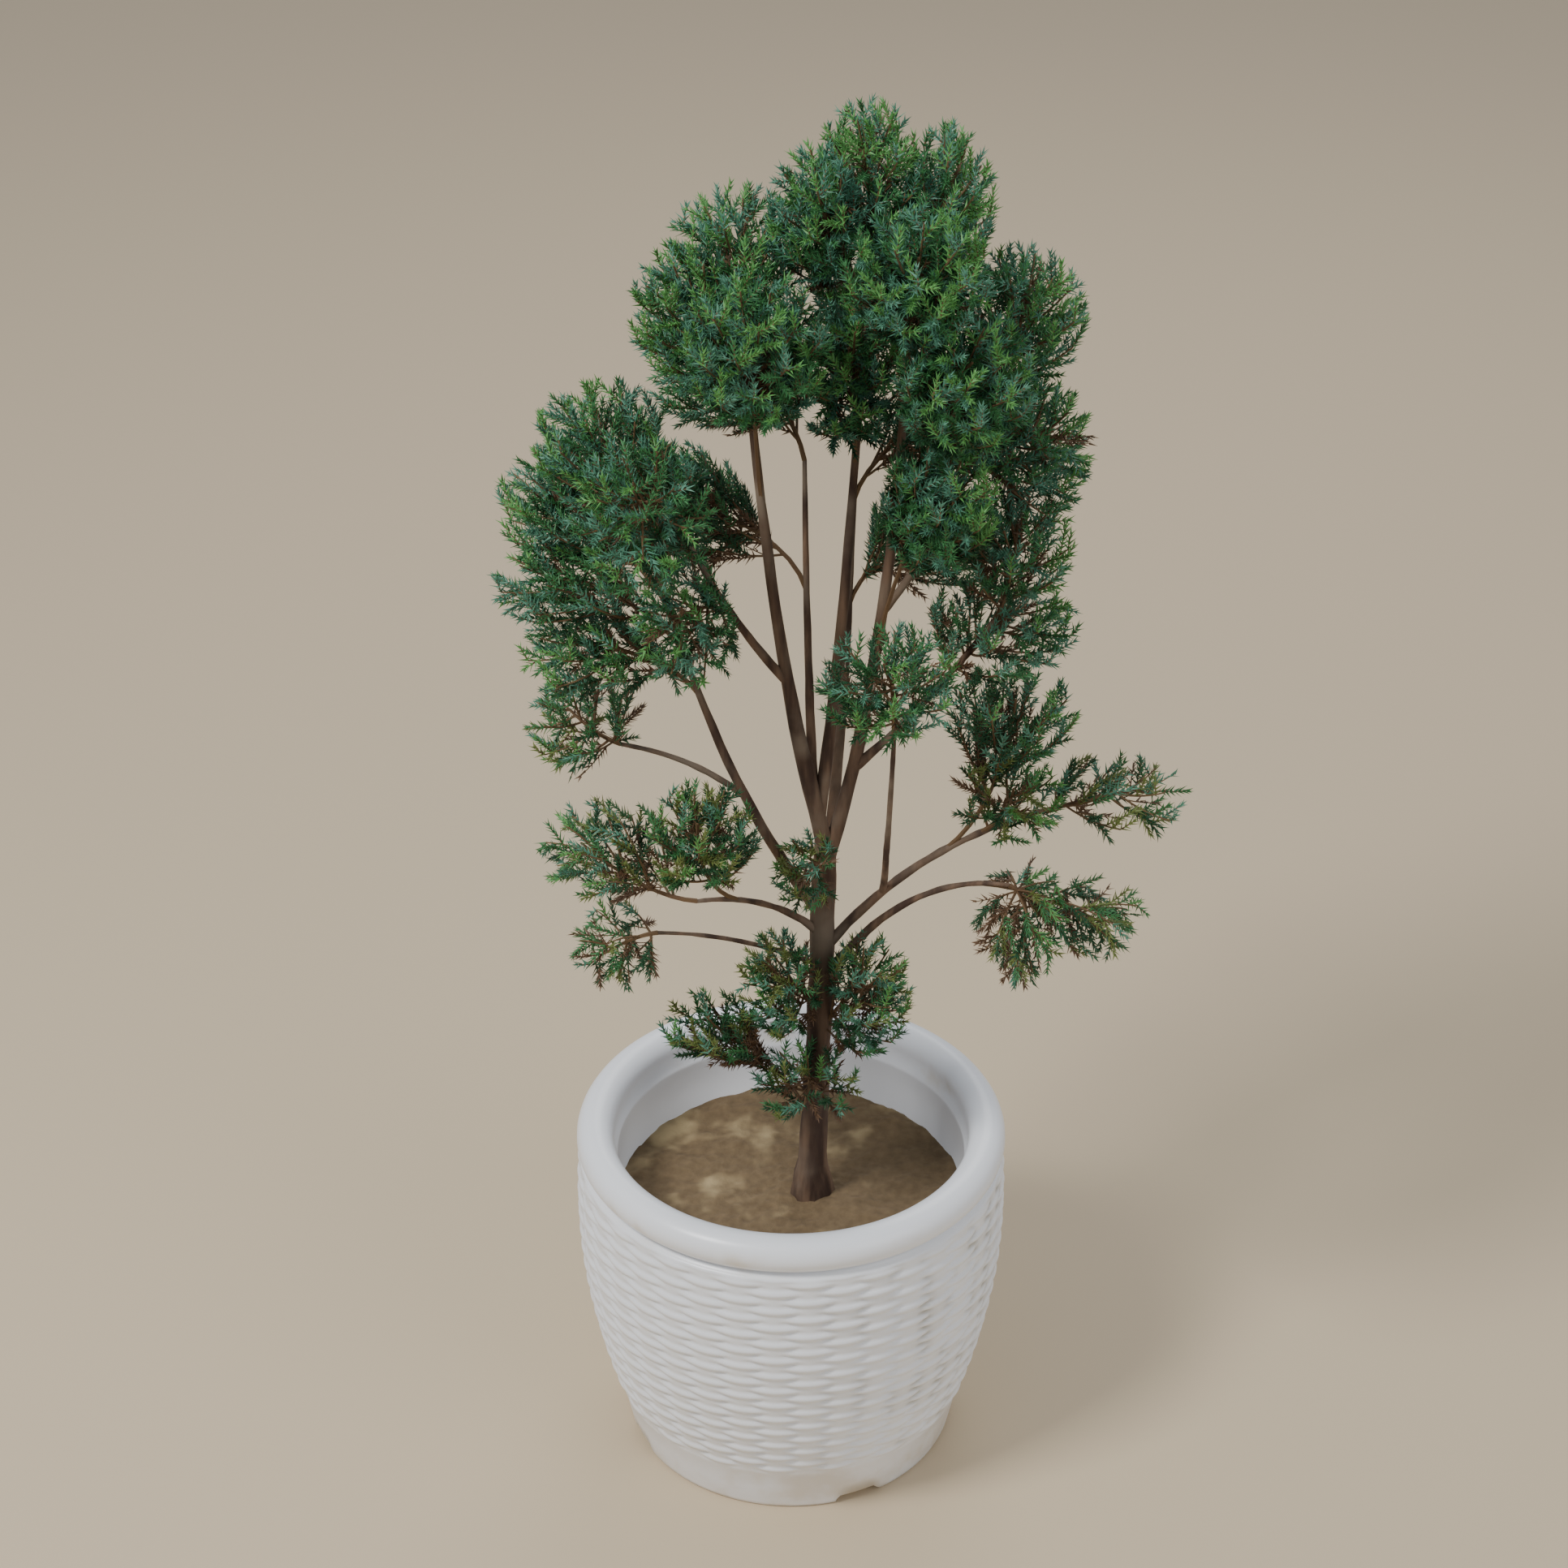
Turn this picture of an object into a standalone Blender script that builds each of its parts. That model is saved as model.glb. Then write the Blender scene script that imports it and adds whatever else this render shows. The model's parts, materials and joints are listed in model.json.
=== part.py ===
"""A young potted conifer, about 0.96 m tall, in a round white pot with a woven pattern.

The origin is on the pot's axis at its flat underside, +Z is up and the front of the plant faces -Y.
Named sizes are in millimetres and become metres where a mesh is made.
"""

import math
import random
from collections import namedtuple

import bmesh
import bpy
import numpy as np
from mathutils import Vector

MM = 0.001
GAP = 0.3  # left between any two pieces that touch

# The pot, turned about the Z axis
POT_HEIGHT = 250.7
RIM_OUTER_R = 145.0
RIM_TUBE_R = 12.4
NECK_R = 141.8
NECK_DROP = 3.5  # height of the plain neck under the rim
BELLY_R = 144.8
BELLY_Z = 187.0
WEAVE_TOP = 223.0
WEAVE_BOTTOM = 39.0
WEAVE_ROWS = 26
WEAVE_COLUMNS = 38
WEAVE_RELIEF = 1.7  # how far a strand stands out of, or sinks behind, the mean belly
FOOT_TOP_R = 121.5
FOOT_LOW_R = 113.5
FOOT_EDGE_R = 110.0
FOOT_EDGE_Z = 4.0
INNER_R = 119.6
LEDGE_R = 117.6  # the small bead round the inside, under the rim
LEDGE_Z = 224.0
INNER_FLOOR_R = 98.0
FLOOR_THICKNESS = 9.0
NOTCHES = 4
NOTCH_WIDTH = 34.0
NOTCH_HEIGHT = 7.0
NOTCH_DEPTH = 10.0
NOTCH_SLOPE = 6.0
NOTCH_AZIMUTH = math.radians(-66.0)

# The soil
SOIL_Z = 187.0
SOIL_RINGS = 5
SOIL_SECTORS = 24
SOIL_ROUGHNESS = 3.0
SOIL_CALM_R = 24.0  # level ground round the trunk

# The trunk, from its flat cut on the soil to its fork
TRUNK_FOOT = (14.0, 0.0, SOIL_Z + GAP)
TRUNK_FORK = (22.0, 2.0, 466.0)
TRUNK_BOW = (2.0, 0.0, 0.0)
TRUNK_FLARE_R = 13.5
TRUNK_FOOT_R = 9.2
TRUNK_FORK_R = 7.4
FLARE_HEIGHT = 16.0
TRUNK_STEPS = 9
TRUNK_SIDES = 4  # bevel resolution: 12 sides
BOUGH_SIDES = 1  # bevel resolution: 6 sides
STEM_SIDES = 0  # bevel resolution: 4 sides
LIMB_STEP = 32.0
LIMB_STEPS_LEAST = 5
LIMB_STEPS_MOST = 9

# A limb leaves its parent at a share of the parent's length, heads for its tip and bends on the way:
# out and up say how much of the way outwards and of the way up its middle handle has made.
Limb = namedtuple("Limb", "name parent share tip out up root_r tip_r")
LIMBS = (
    Limb("leader_left", "trunk", 0.985, (-27, -10, 812), 0.70, 0.42, 6.0, 2.2),
    Limb("leader_right", "trunk", 0.93, (69, 5, 820), 0.85, 0.40, 5.4, 2.2),
    Limb("leader_mid", "leader_left", 0.06, (44, 30, 845), 0.75, 0.45, 4.4, 2.0),
    Limb("leader_mid_left", "leader_left", 0.10, (8, 48, 715), 0.75, 0.40, 3.4, 1.6),
    Limb("leader_back", "trunk", 0.86, (40, 80, 730), 0.90, 0.40, 4.4, 1.8),
    Limb("bough_left", "trunk", 0.80, (-79, -25, 667), 0.62, 0.38, 4.6, 1.9),
    Limb("bough_left_side", "bough_left", 0.40, (-107, -15, 549), 0.40, 0.75, 2.4, 1.4),
    Limb("bough_shoulder", "leader_left", 0.36, (-68, -30, 711), 0.55, 0.40, 3.2, 1.6),
    Limb("bough_low_left", "trunk", 0.745, (-60, -40, 448), 0.40, 0.85, 2.9, 1.4),
    Limb("twig_low_left", "trunk", 0.66, (-86, -25, 414), 0.50, 0.80, 2.0, 1.2),
    Limb("bough_right_a", "trunk", 0.70, (160, -10, 497), 0.38, 0.72, 3.8, 1.6),
    Limb("bough_right_b", "trunk", 0.62, (138, -40, 460), 0.45, 0.98, 3.2, 1.4),
    Limb("stem_right_front", "bough_right_a", 0.34, (62, -70, 585), 0.55, 0.35, 2.6, 1.4),
    Limb("bough_right_mid", "leader_right", 0.20, (124, -20, 640), 0.50, 0.40, 3.0, 1.6),
    Limb("bough_right_top", "leader_right", 0.50, (116, -5, 763), 0.60, 0.40, 2.8, 1.5),
)

# A mass of foliage sits on its limb at a share of the limb's length and fills an ellipsoid of its own.
Mass = namedtuple("Mass", "name limb share centre radii")
MASSES = (
    Mass("crown_top", "leader_mid", 1.0, (44, 22, 906), (32, 46, 47)),
    Mass("crown_top_left", "leader_mid", 0.90, (13, -8, 896), (26, 44, 42)),
    Mass("crown_top_right", "leader_right", 1.0, (91, 22, 891), (27, 46, 47)),
    Mass("crown_bright_front", "leader_right", 0.88, (70, -72, 884), (44, 50, 38)),
    Mass("upper_left_top", "leader_left", 1.0, (-30, 10, 868), (42, 50, 37)),
    Mass("upper_left_outer", "leader_left", 0.84, (-60, -15, 838), (34, 50, 43)),
    Mass("upper_left_front", "leader_left", 0.72, (-21, -86, 846), (42, 48, 46)),
    Mass("upper_right_outer", "bough_right_top", 1.0, (136, 0, 831), (36, 52, 40)),
    Mass("upper_right_front", "leader_right", 0.66, (98, -86, 826), (40, 48, 42)),
    Mass("crown_heart", "leader_mid", 0.66, (34, -26, 806), (32, 44, 50)),
    Mass("right_middle_top", "bough_right_top", 0.80, (144, 0, 746), (36, 52, 43)),
    Mass("right_middle_low", "bough_right_mid", 1.0, (134, -15, 687), (37, 50, 34)),
    Mass("right_inner", "leader_right", 0.42,(86, -72, 746), (34, 46, 42)),
    Mass("shoulder_top", "bough_left", 1.0, (-115, 6, 746), (42, 50, 36)),
    Mass("shoulder_outer", "bough_left", 0.93, (-145, 12, 702), (34, 48, 37)),
    Mass("shoulder_front", "bough_shoulder", 1.0, (-87, -80, 738), (42, 48, 46)),
    Mass("shoulder_low", "bough_left", 0.82, (-139, -22, 667), (42, 44, 25)),
    Mass("left_mid", "bough_left", 0.70, (-124, -28, 622), (42, 44, 27)),
    Mass("left_low", "bough_left_side", 1.0, (-129, -6, 558), (37, 42, 30)),
    Mass("left_mid_inner", "bough_shoulder", 0.45, (-63, -58, 655), (33, 42, 38)),
    Mass("left_droop_outer", "bough_low_left", 1.0, (-117, -20, 474), (44, 40, 29)),
    Mass("left_droop_inner", "bough_low_left", 0.72, (-55, -62, 508), (35, 38, 37)),
    Mass("left_fringe", "twig_low_left", 1.0, (-110, -25, 406), (31, 36, 26)),
    Mass("front_tuft", "stem_right_front", 1.0, (58, -96, 635), (42, 42, 36)),
    Mass("right_low_mid", "bough_right_mid", 0.62, (128, -12, 630), (50, 46, 30)),
    Mass("right_mid_lower", "bough_right_a", 0.62, (137, -12, 569), (42, 40, 25)),
    Mass("right_lower_tip", "bough_right_a", 1.0, (205, 0, 500), (50, 40, 22)),
    Mass("right_lower_inner", "bough_right_a", 0.76, (136, -32, 519), (36, 40, 25)),
    Mass("right_droop", "bough_right_b", 1.0, (146, -38, 434), (29, 36, 47)),
    Mass("right_fringe", "bough_right_b", 0.90, (194, -28, 428), (34, 34, 21)),
    Mass("trunk_tuft", "trunk", 0.90, (10, -34, 466), (21, 26, 26)),
    Mass("foot_left", "trunk", 0.50, (-8, -34, 378), (27, 32, 39)),
    Mass("foot_right", "trunk", 0.44, (50, -26, 364), (28, 34, 46)),
    Mass("foot_low", "trunk", 0.26, (10, -34, 300), (35, 32, 28)),
    Mass("foot_sprig", "trunk", 0.17, (-54, -24, 338), (32, 30, 22)),
    Mass("back_top", "leader_back", 1.0, (58, 86, 815), (50, 48, 52)),
    Mass("back_left", "leader_mid_left", 1.0, (-40, 84, 765), (50, 48, 50)),
    Mass("back_right", "leader_back", 0.82, (112, 88, 728), (50, 48, 48)),
    Mass("back_left_low", "leader_mid_left", 0.62, (-76, 70, 668), (50, 46, 44)),
    Mass("back_right_low", "leader_back", 0.60, (92, 92, 640), (46, 44, 38)),
)
DROOPING = {"left_fringe": 0.55, "right_droop": 1.0, "left_droop_outer": 0.15, "right_fringe": 0.3}
# A drooping mass grows down by this much of its own length.

# The growing rule inside a mass
STEM_REACH = 0.42  # the stem ends this share of the radii past the centre
STEM_ROOT_R = 2.3
STEM_END_R = 1.1
STEM_STEPS = 3
STRAIGHT_ROOT = 3.0  # a stem on a limb's tip goes on straight for this far
SPRAYS_MOST = 6
SPRAYS_LEAST = 4
FACES_LEAST = 120  # a mass with fewer has lost its sprays in the union, and is grown again
TRIES_MOST = 5
SPRAY_AREA = 700.0  # one spray for this much of the mass's broad side, in square millimetres
LEAVING_LEAD = 0.42  # a twig leaves the stem this share of its length before the place it heads for
RISE_SAG = 0.12  # a twig bends up towards its tip, by this share of its length
DROOP_SAG = -0.10
CROWN_AXIS = (20.0, 10.0)
GOLDEN_TURN = math.pi * (3.0 - math.sqrt(5.0))
BACKWARD = -0.30  # cosine of the furthest direction from the growing axis that a spray takes
SPACE_REACH = 1.02  # how much of its ellipsoid a mass may use
SHRINKS = (0.98, 0.86, 0.74, 0.62)  # a spray that would leave the space is tried shorter
TWIG_ROOT_R = 1.3
TWIG_END_R = 0.7
BARE_SHARE = 0.30
TOOTH_PITCH = 17.0
TOOTH_LENGTH = 32.0
TOOTH_SHRINKS = (1.0, 0.75, 0.5)
TOOTH_TAPER = 0.45
TOOTH_ANGLE = math.radians(46.0)
TOOTH_LIFT = 0.28  # how far a tooth leaves the spray's plane, as a share of its length
PAIRS_MOST = 3
CLEARANCE = 1.2  # between a spray and any limb or other stem
SAMPLE_STEP = 3.0

COLOURS = {
    "pot": ((0.86, 0.87, 0.88), 0.38),
    "soil": ((0.17, 0.115, 0.055), 0.95),
    "bark": ((0.10, 0.055, 0.032), 0.88),
    "foliage": ((0.045, 0.165, 0.06), 0.62),
}


def start_clean():
    for old in list(bpy.data.objects):
        bpy.data.objects.remove(old)
    made = bpy.data.collections.new("potted_conifer")
    bpy.context.scene.collection.children.link(made)
    return made


def principled(name):
    colour, roughness = COLOURS[name]
    material = bpy.data.materials.new(name)
    material.use_nodes = True
    shader = material.node_tree.nodes["Principled BSDF"]
    shader.inputs["Base Color"].default_value = (*colour, 1.0)
    shader.inputs["Roughness"].default_value = roughness
    shader.inputs["Metallic"].default_value = 0.0
    return material


def object_from(name, points, faces, collection):
    """A closed mesh from points in millimetres."""
    mesh = bpy.data.meshes.new(name)
    mesh.from_pydata([Vector(p) * MM for p in points], [], faces)
    made = bpy.data.objects.new(name, mesh)
    collection.objects.link(made)
    return made


def applied(target):
    """Bakes the object's modifiers into its mesh."""
    depsgraph = bpy.context.evaluated_depsgraph_get()
    mesh = bpy.data.meshes.new_from_object(target.evaluated_get(depsgraph), depsgraph=depsgraph)
    target.modifiers.clear()
    target.data = mesh
    return target


def boolean(target, operation, cutter=None, collection=None):
    modifier = target.modifiers.new(operation.lower(), "BOOLEAN")
    modifier.operation = operation
    modifier.solver = "EXACT"
    if collection is None:
        modifier.object = cutter
    else:
        modifier.operand_type = "COLLECTION"
        modifier.collection = collection
    return applied(target)


def keep_largest(target):
    """Drops the loose scraps a cut leaves: the shell that reaches furthest stays."""
    bm = bmesh.new()
    bm.from_mesh(target.data)
    bmesh.ops.dissolve_degenerate(bm, dist=1e-7, edges=bm.edges)
    shells = sorted(shells_of(bm), key=shell_size, reverse=True)
    doomed = [face for shell in shells[1:] for face in shell]
    if doomed:
        bmesh.ops.delete(bm, geom=doomed, context="FACES")
    bm.to_mesh(target.data)
    bm.free()
    return target


def shells_of(bm):
    """Groups of faces that are joined across edges with exactly two faces."""
    unseen = set(bm.faces)
    shells = []
    while unseen:
        front = [unseen.pop()]
        shell = set(front)
        while front:
            shared = (e for face in front for e in face.edges if len(e.link_faces) == 2)
            near = {face for e in shared for face in e.link_faces} - shell
            shell |= near
            front = list(near)
        unseen -= shell
        shells.append(shell)
    return shells


def shell_size(shell):
    corners = np.array([v.co for face in shell for v in face.verts])
    return float(np.prod(corners.max(0) - corners.min(0) + 1e-6))


def is_sound(target):
    """Whether a mesh is closed and the right way out, with no edge where it touches itself."""
    bm = bmesh.new()
    bm.from_mesh(target.data)
    sound = all(e.is_manifold and e.is_contiguous for e in bm.edges) and bm.calc_volume(signed=True) > 0.0
    bm.free()
    return sound


def shade(target, material, angle=35.0):
    target.data.materials.clear()
    target.data.materials.append(material)
    target.data.shade_smooth()
    target.data.set_sharp_from_angle(angle=math.radians(angle))
    return target


# The pot


def arc(centre, radius, first, last, steps):
    """Points on an arc in the (radius, height) plane, angles in degrees from the outward direction."""
    turns = (math.radians(first + (last - first) * i / steps) for i in range(steps + 1))
    return [(centre[0] + radius * math.cos(t), centre[1] + radius * math.sin(t)) for t in turns]


def belly_radius(z):
    fall = (BELLY_R - FOOT_TOP_R) / (BELLY_Z - WEAVE_BOTTOM) ** 2
    return BELLY_R - fall * (z - BELLY_Z) ** 2


def weave_height(row):
    return WEAVE_TOP - (WEAVE_TOP - WEAVE_BOTTOM) * (row + 0.5) / WEAVE_ROWS


def pot_profile():
    """Up the inside, over the rim, down the outside and back to the axis along the underside."""
    rim_centre = (RIM_OUTER_R - RIM_TUBE_R, POT_HEIGHT - RIM_TUBE_R)
    rim_foot = rim_centre[1] - RIM_TUBE_R
    inside = [
        (0.0, FLOOR_THICKNESS),
        (INNER_FLOOR_R, FLOOR_THICKNESS),
        (INNER_FLOOR_R + 10.0, FLOOR_THICKNESS + 30.0),
        (INNER_R - 3.0, SOIL_Z - 40.0),
        (INNER_R - 1.4, LEDGE_Z - 5.0),
        (LEDGE_R, LEDGE_Z),
        (INNER_R + 0.4, LEDGE_Z + 3.5),
    ]
    rim = arc(rim_centre, RIM_TUBE_R, 185.0, -78.0, 8)
    neck = [(NECK_R, rim_foot - NECK_DROP)]
    belly = [(belly_radius(weave_height(row)), weave_height(row)) for row in range(WEAVE_ROWS)]
    foot = [
        (FOOT_TOP_R - 0.8, WEAVE_BOTTOM - 3.0),
        (FOOT_LOW_R + 3.2, 0.5 * WEAVE_BOTTOM),
        (FOOT_LOW_R, FOOT_EDGE_Z),
        (FOOT_EDGE_R, 0.0),
        (0.0, 0.0),
    ]
    return inside + rim + neck + belly + foot


def relief_weave(pot):
    """Strands pass over every second stake: points go out and in like a chessboard."""
    bm = bmesh.new()
    bm.from_mesh(pot.data)
    column_angle = 2.0 * math.pi / WEAVE_COLUMNS
    heights = [weave_height(row) for row in range(WEAVE_ROWS)]
    over = {}
    for v in bm.verts:
        z = v.co.z / MM
        radius = math.hypot(v.co.x, v.co.y) / MM
        row = min(range(WEAVE_ROWS), key=lambda r: abs(heights[r] - z))
        if abs(heights[row] - z) > 0.1 or radius < belly_radius(z) - 1.0:
            continue
        column = round(math.atan2(v.co.y, v.co.x) / column_angle)
        stands_out = (row + column) % 2 == 1
        over[v] = stands_out
        scale = 1.0 + (WEAVE_RELIEF if stands_out else -WEAVE_RELIEF) / radius
        v.co.x *= scale
        v.co.y *= scale
    for face in list(bm.faces):
        sunk = [v for v in face.verts if over.get(v) is False]
        if len(face.verts) == 4 and all(v in over for v in face.verts) and len(sunk) == 2:
            bmesh.utils.face_split(face, sunk[0], sunk[1])
    bm.to_mesh(pot.data)
    bm.free()


def notch_cutters(collection):
    """Wedges that lift the edge of the foot, so that water runs out from under the pot."""
    cutters = []
    away = FOOT_LOW_R + 0.5 * NOTCH_WIDTH - NOTCH_DEPTH
    for k in range(NOTCHES):
        azimuth = NOTCH_AZIMUTH + 2.0 * math.pi * k / NOTCHES
        bpy.ops.mesh.primitive_cone_add(
            vertices=4,
            radius1=(0.5 * NOTCH_WIDTH + NOTCH_SLOPE) * math.sqrt(2.0) * MM,
            radius2=(0.5 * NOTCH_WIDTH - NOTCH_SLOPE) * math.sqrt(2.0) * MM,
            depth=2.0 * NOTCH_HEIGHT * MM,
            location=(away * math.cos(azimuth) * MM, away * math.sin(azimuth) * MM, 0.0),
            rotation=(0.0, 0.0, azimuth + math.pi / 4.0),
        )
        cutter = bpy.context.active_object
        cutter.name = f"notch_cutter_{k}"
        for owner in list(cutter.users_collection):
            owner.objects.unlink(cutter)
        collection.objects.link(cutter)
        cutter.hide_render = True
        cutter.display_type = "WIRE"
        cutters.append(cutter)
    return cutters


def make_pot(collection, cutter_collection):
    profile = pot_profile()
    points = [(r, 0.0, z) for r, z in profile]
    mesh = bpy.data.meshes.new("pot")
    edges = [(i, i + 1) for i in range(len(points) - 1)]
    mesh.from_pydata([Vector(p) * MM for p in points], edges, [])
    pot = bpy.data.objects.new("pot", mesh)
    collection.objects.link(pot)
    screw = pot.modifiers.new("turn", "SCREW")
    screw.steps = screw.render_steps = WEAVE_COLUMNS
    screw.use_merge_vertices = True
    screw.merge_threshold = 0.00001
    applied(pot)
    relief_weave(pot)
    for cutter in notch_cutters(cutter_collection):
        boolean(pot, "DIFFERENCE", cutter=cutter)
    return keep_largest(pot)


# The soil


def inner_radius(z):
    """The inside of the pot's wall at a height below the ledge."""
    stations = [(FLOOR_THICKNESS, INNER_FLOOR_R), (FLOOR_THICKNESS + 30.0, INNER_FLOOR_R + 10.0),
                (SOIL_Z - 40.0, INNER_R - 3.0), (LEDGE_Z - 5.0, INNER_R - 1.4)]
    heights, radii = zip(*stations)
    return float(np.interp(z, heights, radii))


def make_soil(collection):
    """A plug of soil that fills the pot, level round the trunk and lumpy towards the wall."""
    clear = 2.0 * GAP + INNER_R * (1.0 - math.cos(math.pi / WEAVE_COLUMNS))
    stations = [SOIL_Z, SOIL_Z - 40.0, FLOOR_THICKNESS + 30.0, FLOOR_THICKNESS + GAP]
    top = [(0.0, SOIL_Z)]
    top += [((inner_radius(SOIL_Z) - clear) * k / SOIL_RINGS, SOIL_Z) for k in range(1, SOIL_RINGS)]
    profile = top + [(inner_radius(z) - clear, z) for z in stations] + [(0.0, stations[-1])]
    mesh = bpy.data.meshes.new("soil")
    edges = [(i, i + 1) for i in range(len(profile) - 1)]
    mesh.from_pydata([Vector((r, 0.0, z)) * MM for r, z in profile], edges, [])
    soil = bpy.data.objects.new("soil", mesh)
    collection.objects.link(soil)
    screw = soil.modifiers.new("turn", "SCREW")
    screw.steps = screw.render_steps = SOIL_SECTORS
    screw.use_merge_vertices = True
    screw.merge_threshold = 0.00001
    applied(soil)
    rng = random.Random(5)
    for v in soil.data.vertices:
        away = math.hypot(v.co.x / MM - TRUNK_FOOT[0], v.co.y / MM - TRUNK_FOOT[1])
        if v.co.z / MM > SOIL_Z - 1.0 and away > SOIL_CALM_R:
            v.co.z += rng.uniform(-1.0, 0.6) * SOIL_ROUGHNESS * MM
    return soil


# Limbs


def bezier(start, handle, end, steps):
    return [
        (1 - t) ** 2 * start + 2 * t * (1 - t) * handle + t * t * end
        for t in (i / steps for i in range(steps + 1))
    ]


def place_on(path, share):
    """The point, direction and radius at a share of a path's length."""
    points, radii = path
    lengths = [(b - a).length for a, b in zip(points, points[1:])]
    left = share * sum(lengths)
    for i, length in enumerate(lengths):
        if left <= length or i == len(lengths) - 1:
            t = min(1.0, left / length)
            point = points[i].lerp(points[i + 1], t)
            direction = (points[i + 1] - points[i]).normalized()
            return point, direction, radii[i] + (radii[i + 1] - radii[i]) * t
        left -= length


def trunk_path():
    foot, fork = Vector(TRUNK_FOOT), Vector(TRUNK_FORK)
    handle = foot.lerp(fork, 0.5) + Vector(TRUNK_BOW)
    above = Vector((foot.x, foot.y, foot.z + FLARE_HEIGHT))
    flare = [foot, Vector((foot.x, foot.y, foot.z + 0.35 * FLARE_HEIGHT))]
    points = flare + bezier(above, handle, fork, TRUNK_STEPS)
    radii = [TRUNK_FLARE_R, 0.5 * (TRUNK_FLARE_R + TRUNK_FOOT_R)]
    radii += [TRUNK_FOOT_R + (TRUNK_FORK_R - TRUNK_FOOT_R) * i / TRUNK_STEPS for i in range(TRUNK_STEPS + 1)]
    return points, radii


def limb_path(limb, paths):
    start, _, _ = place_on(paths[limb.parent], limb.share)
    tip = Vector(limb.tip)
    way = tip - start
    handle = start + Vector((way.x * limb.out, way.y * limb.out, way.z * limb.up))
    steps = max(LIMB_STEPS_LEAST, min(LIMB_STEPS_MOST, round(way.length / LIMB_STEP)))
    points = bezier(start, handle, tip, steps)
    radii = [limb.root_r + (limb.tip_r - limb.root_r) * (i / steps) ** 0.8 for i in range(steps + 1)]
    return points, radii


def tube(name, path, resolution, collection, swell=0.0):
    """A tapering tube with flat ends along a path; swell makes it that much fatter and longer."""
    points, radii = [p.copy() for p in path[0]], path[1]
    if swell:
        points[0] -= (points[1] - points[0]).normalized() * swell
        points[-1] += (points[-1] - points[-2]).normalized() * swell
    curve = bpy.data.curves.new(name, "CURVE")
    curve.dimensions = "3D"
    curve.bevel_depth = MM
    curve.bevel_resolution = resolution
    curve.use_fill_caps = True
    spline = curve.splines.new("POLY")
    spline.points.add(len(points) - 1)
    sides = 4 + 2 * resolution
    for knot, point, radius in zip(spline.points, points, radii):
        knot.co = (*(point * MM), 1.0)
        knot.radius = radius + swell / math.cos(math.pi / sides)
    guide = bpy.data.objects.new(name + "_guide", curve)
    collection.objects.link(guide)
    bpy.context.view_layer.update()
    depsgraph = bpy.context.evaluated_depsgraph_get()
    mesh = bpy.data.meshes.new_from_object(guide.evaluated_get(depsgraph), depsgraph=depsgraph)
    bpy.data.objects.remove(guide)
    bm = bmesh.new()
    bm.from_mesh(mesh)
    bmesh.ops.remove_doubles(bm, verts=bm.verts, dist=1e-6)
    bmesh.ops.recalc_face_normals(bm, faces=bm.faces)
    bm.to_mesh(mesh)
    bm.free()
    made = bpy.data.objects.new(name, mesh)
    collection.objects.link(made)
    return made


def nearest(path_a, path_b):
    """The least distance between the skins of two paths, from samples along the first."""
    points, radii = path_a
    samples, sample_radii = [], []
    for i in range(len(points) - 1):
        for k in range(8):
            t = k / 8.0
            samples.append(points[i].lerp(points[i + 1], t))
            sample_radii.append(radii[i] + (radii[i + 1] - radii[i]) * t)
    gaps = skin_distance(np.array(samples), *segments_of([path_b]))
    return float((gaps - np.array(sample_radii)).min())


def segments_of(paths):
    starts, ends, radii = [], [], []
    for points, path_radii in paths:
        for i in range(len(points) - 1):
            starts.append(points[i])
            ends.append(points[i + 1])
            radii.append(max(path_radii[i], path_radii[i + 1]))
    return np.array(starts), np.array(ends), np.array(radii)


def skin_distance(samples, starts, ends, radii):
    """For each sample, how far it is from the nearest tube."""
    way = ends - starts
    along = np.einsum("nmk,mk->nm", samples[:, None, :] - starts[None], way)
    share = np.clip(along / np.maximum(np.einsum("mk,mk->m", way, way), 1e-9), 0.0, 1.0)
    nearest_points = starts[None] + share[..., None] * way[None]
    return (np.linalg.norm(samples[:, None, :] - nearest_points, axis=2) - radii[None]).min(axis=1)


def cut_clear(target, path, others, paths, sides, collection):
    """Cuts away what a piece shares with the limbs near it, with the gap that touching pieces keep."""
    for other in others:
        if nearest(path, paths[other]) < 2.0 * GAP:
            cutter = tube(other + "_cutter", paths[other], sides[other], collection, swell=GAP)
            boolean(target, "DIFFERENCE", cutter=cutter)
            bpy.data.objects.remove(cutter)
            keep_largest(target)
    return target


# Masses of foliage


def growing_axis(mass, root):
    """A mass grows from its root through its centre, turned up, or down where it droops."""
    way = Vector(mass.centre) - root
    scaled = Vector([w / r for w, r in zip(way, mass.radii)]).normalized()
    turn = -1.6 * DROOPING[mass.name] if mass.name in DROOPING else 0.45
    return (scaled + Vector((0.0, 0.0, turn))).normalized()


def within(mass, direction, reach):
    return Vector([c + r * d * reach for c, r, d in zip(mass.centre, mass.radii, direction)])


def stem_path(mass, paths):
    point, along, limb_r = place_on(paths[mass.limb], mass.share)
    at_tip = mass.share == 1.0
    root = point + along * GAP if at_tip else point
    start = root + along * STRAIGHT_ROOT if at_tip else root
    end = within(mass, growing_axis(mass, root), STEM_REACH)
    way = end - start
    handle = start + along * (0.40 if at_tip else 0.22) * way.length + way * 0.12
    thick = min(STEM_ROOT_R, limb_r if at_tip else 0.7 * limb_r)
    points = bezier(start, handle, end, STEM_STEPS)
    radii = [thick + (STEM_END_R - thick) * i / STEM_STEPS for i in range(STEM_STEPS + 1)]
    return ([root] + points, [thick] + radii) if at_tip else (points, radii)


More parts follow.
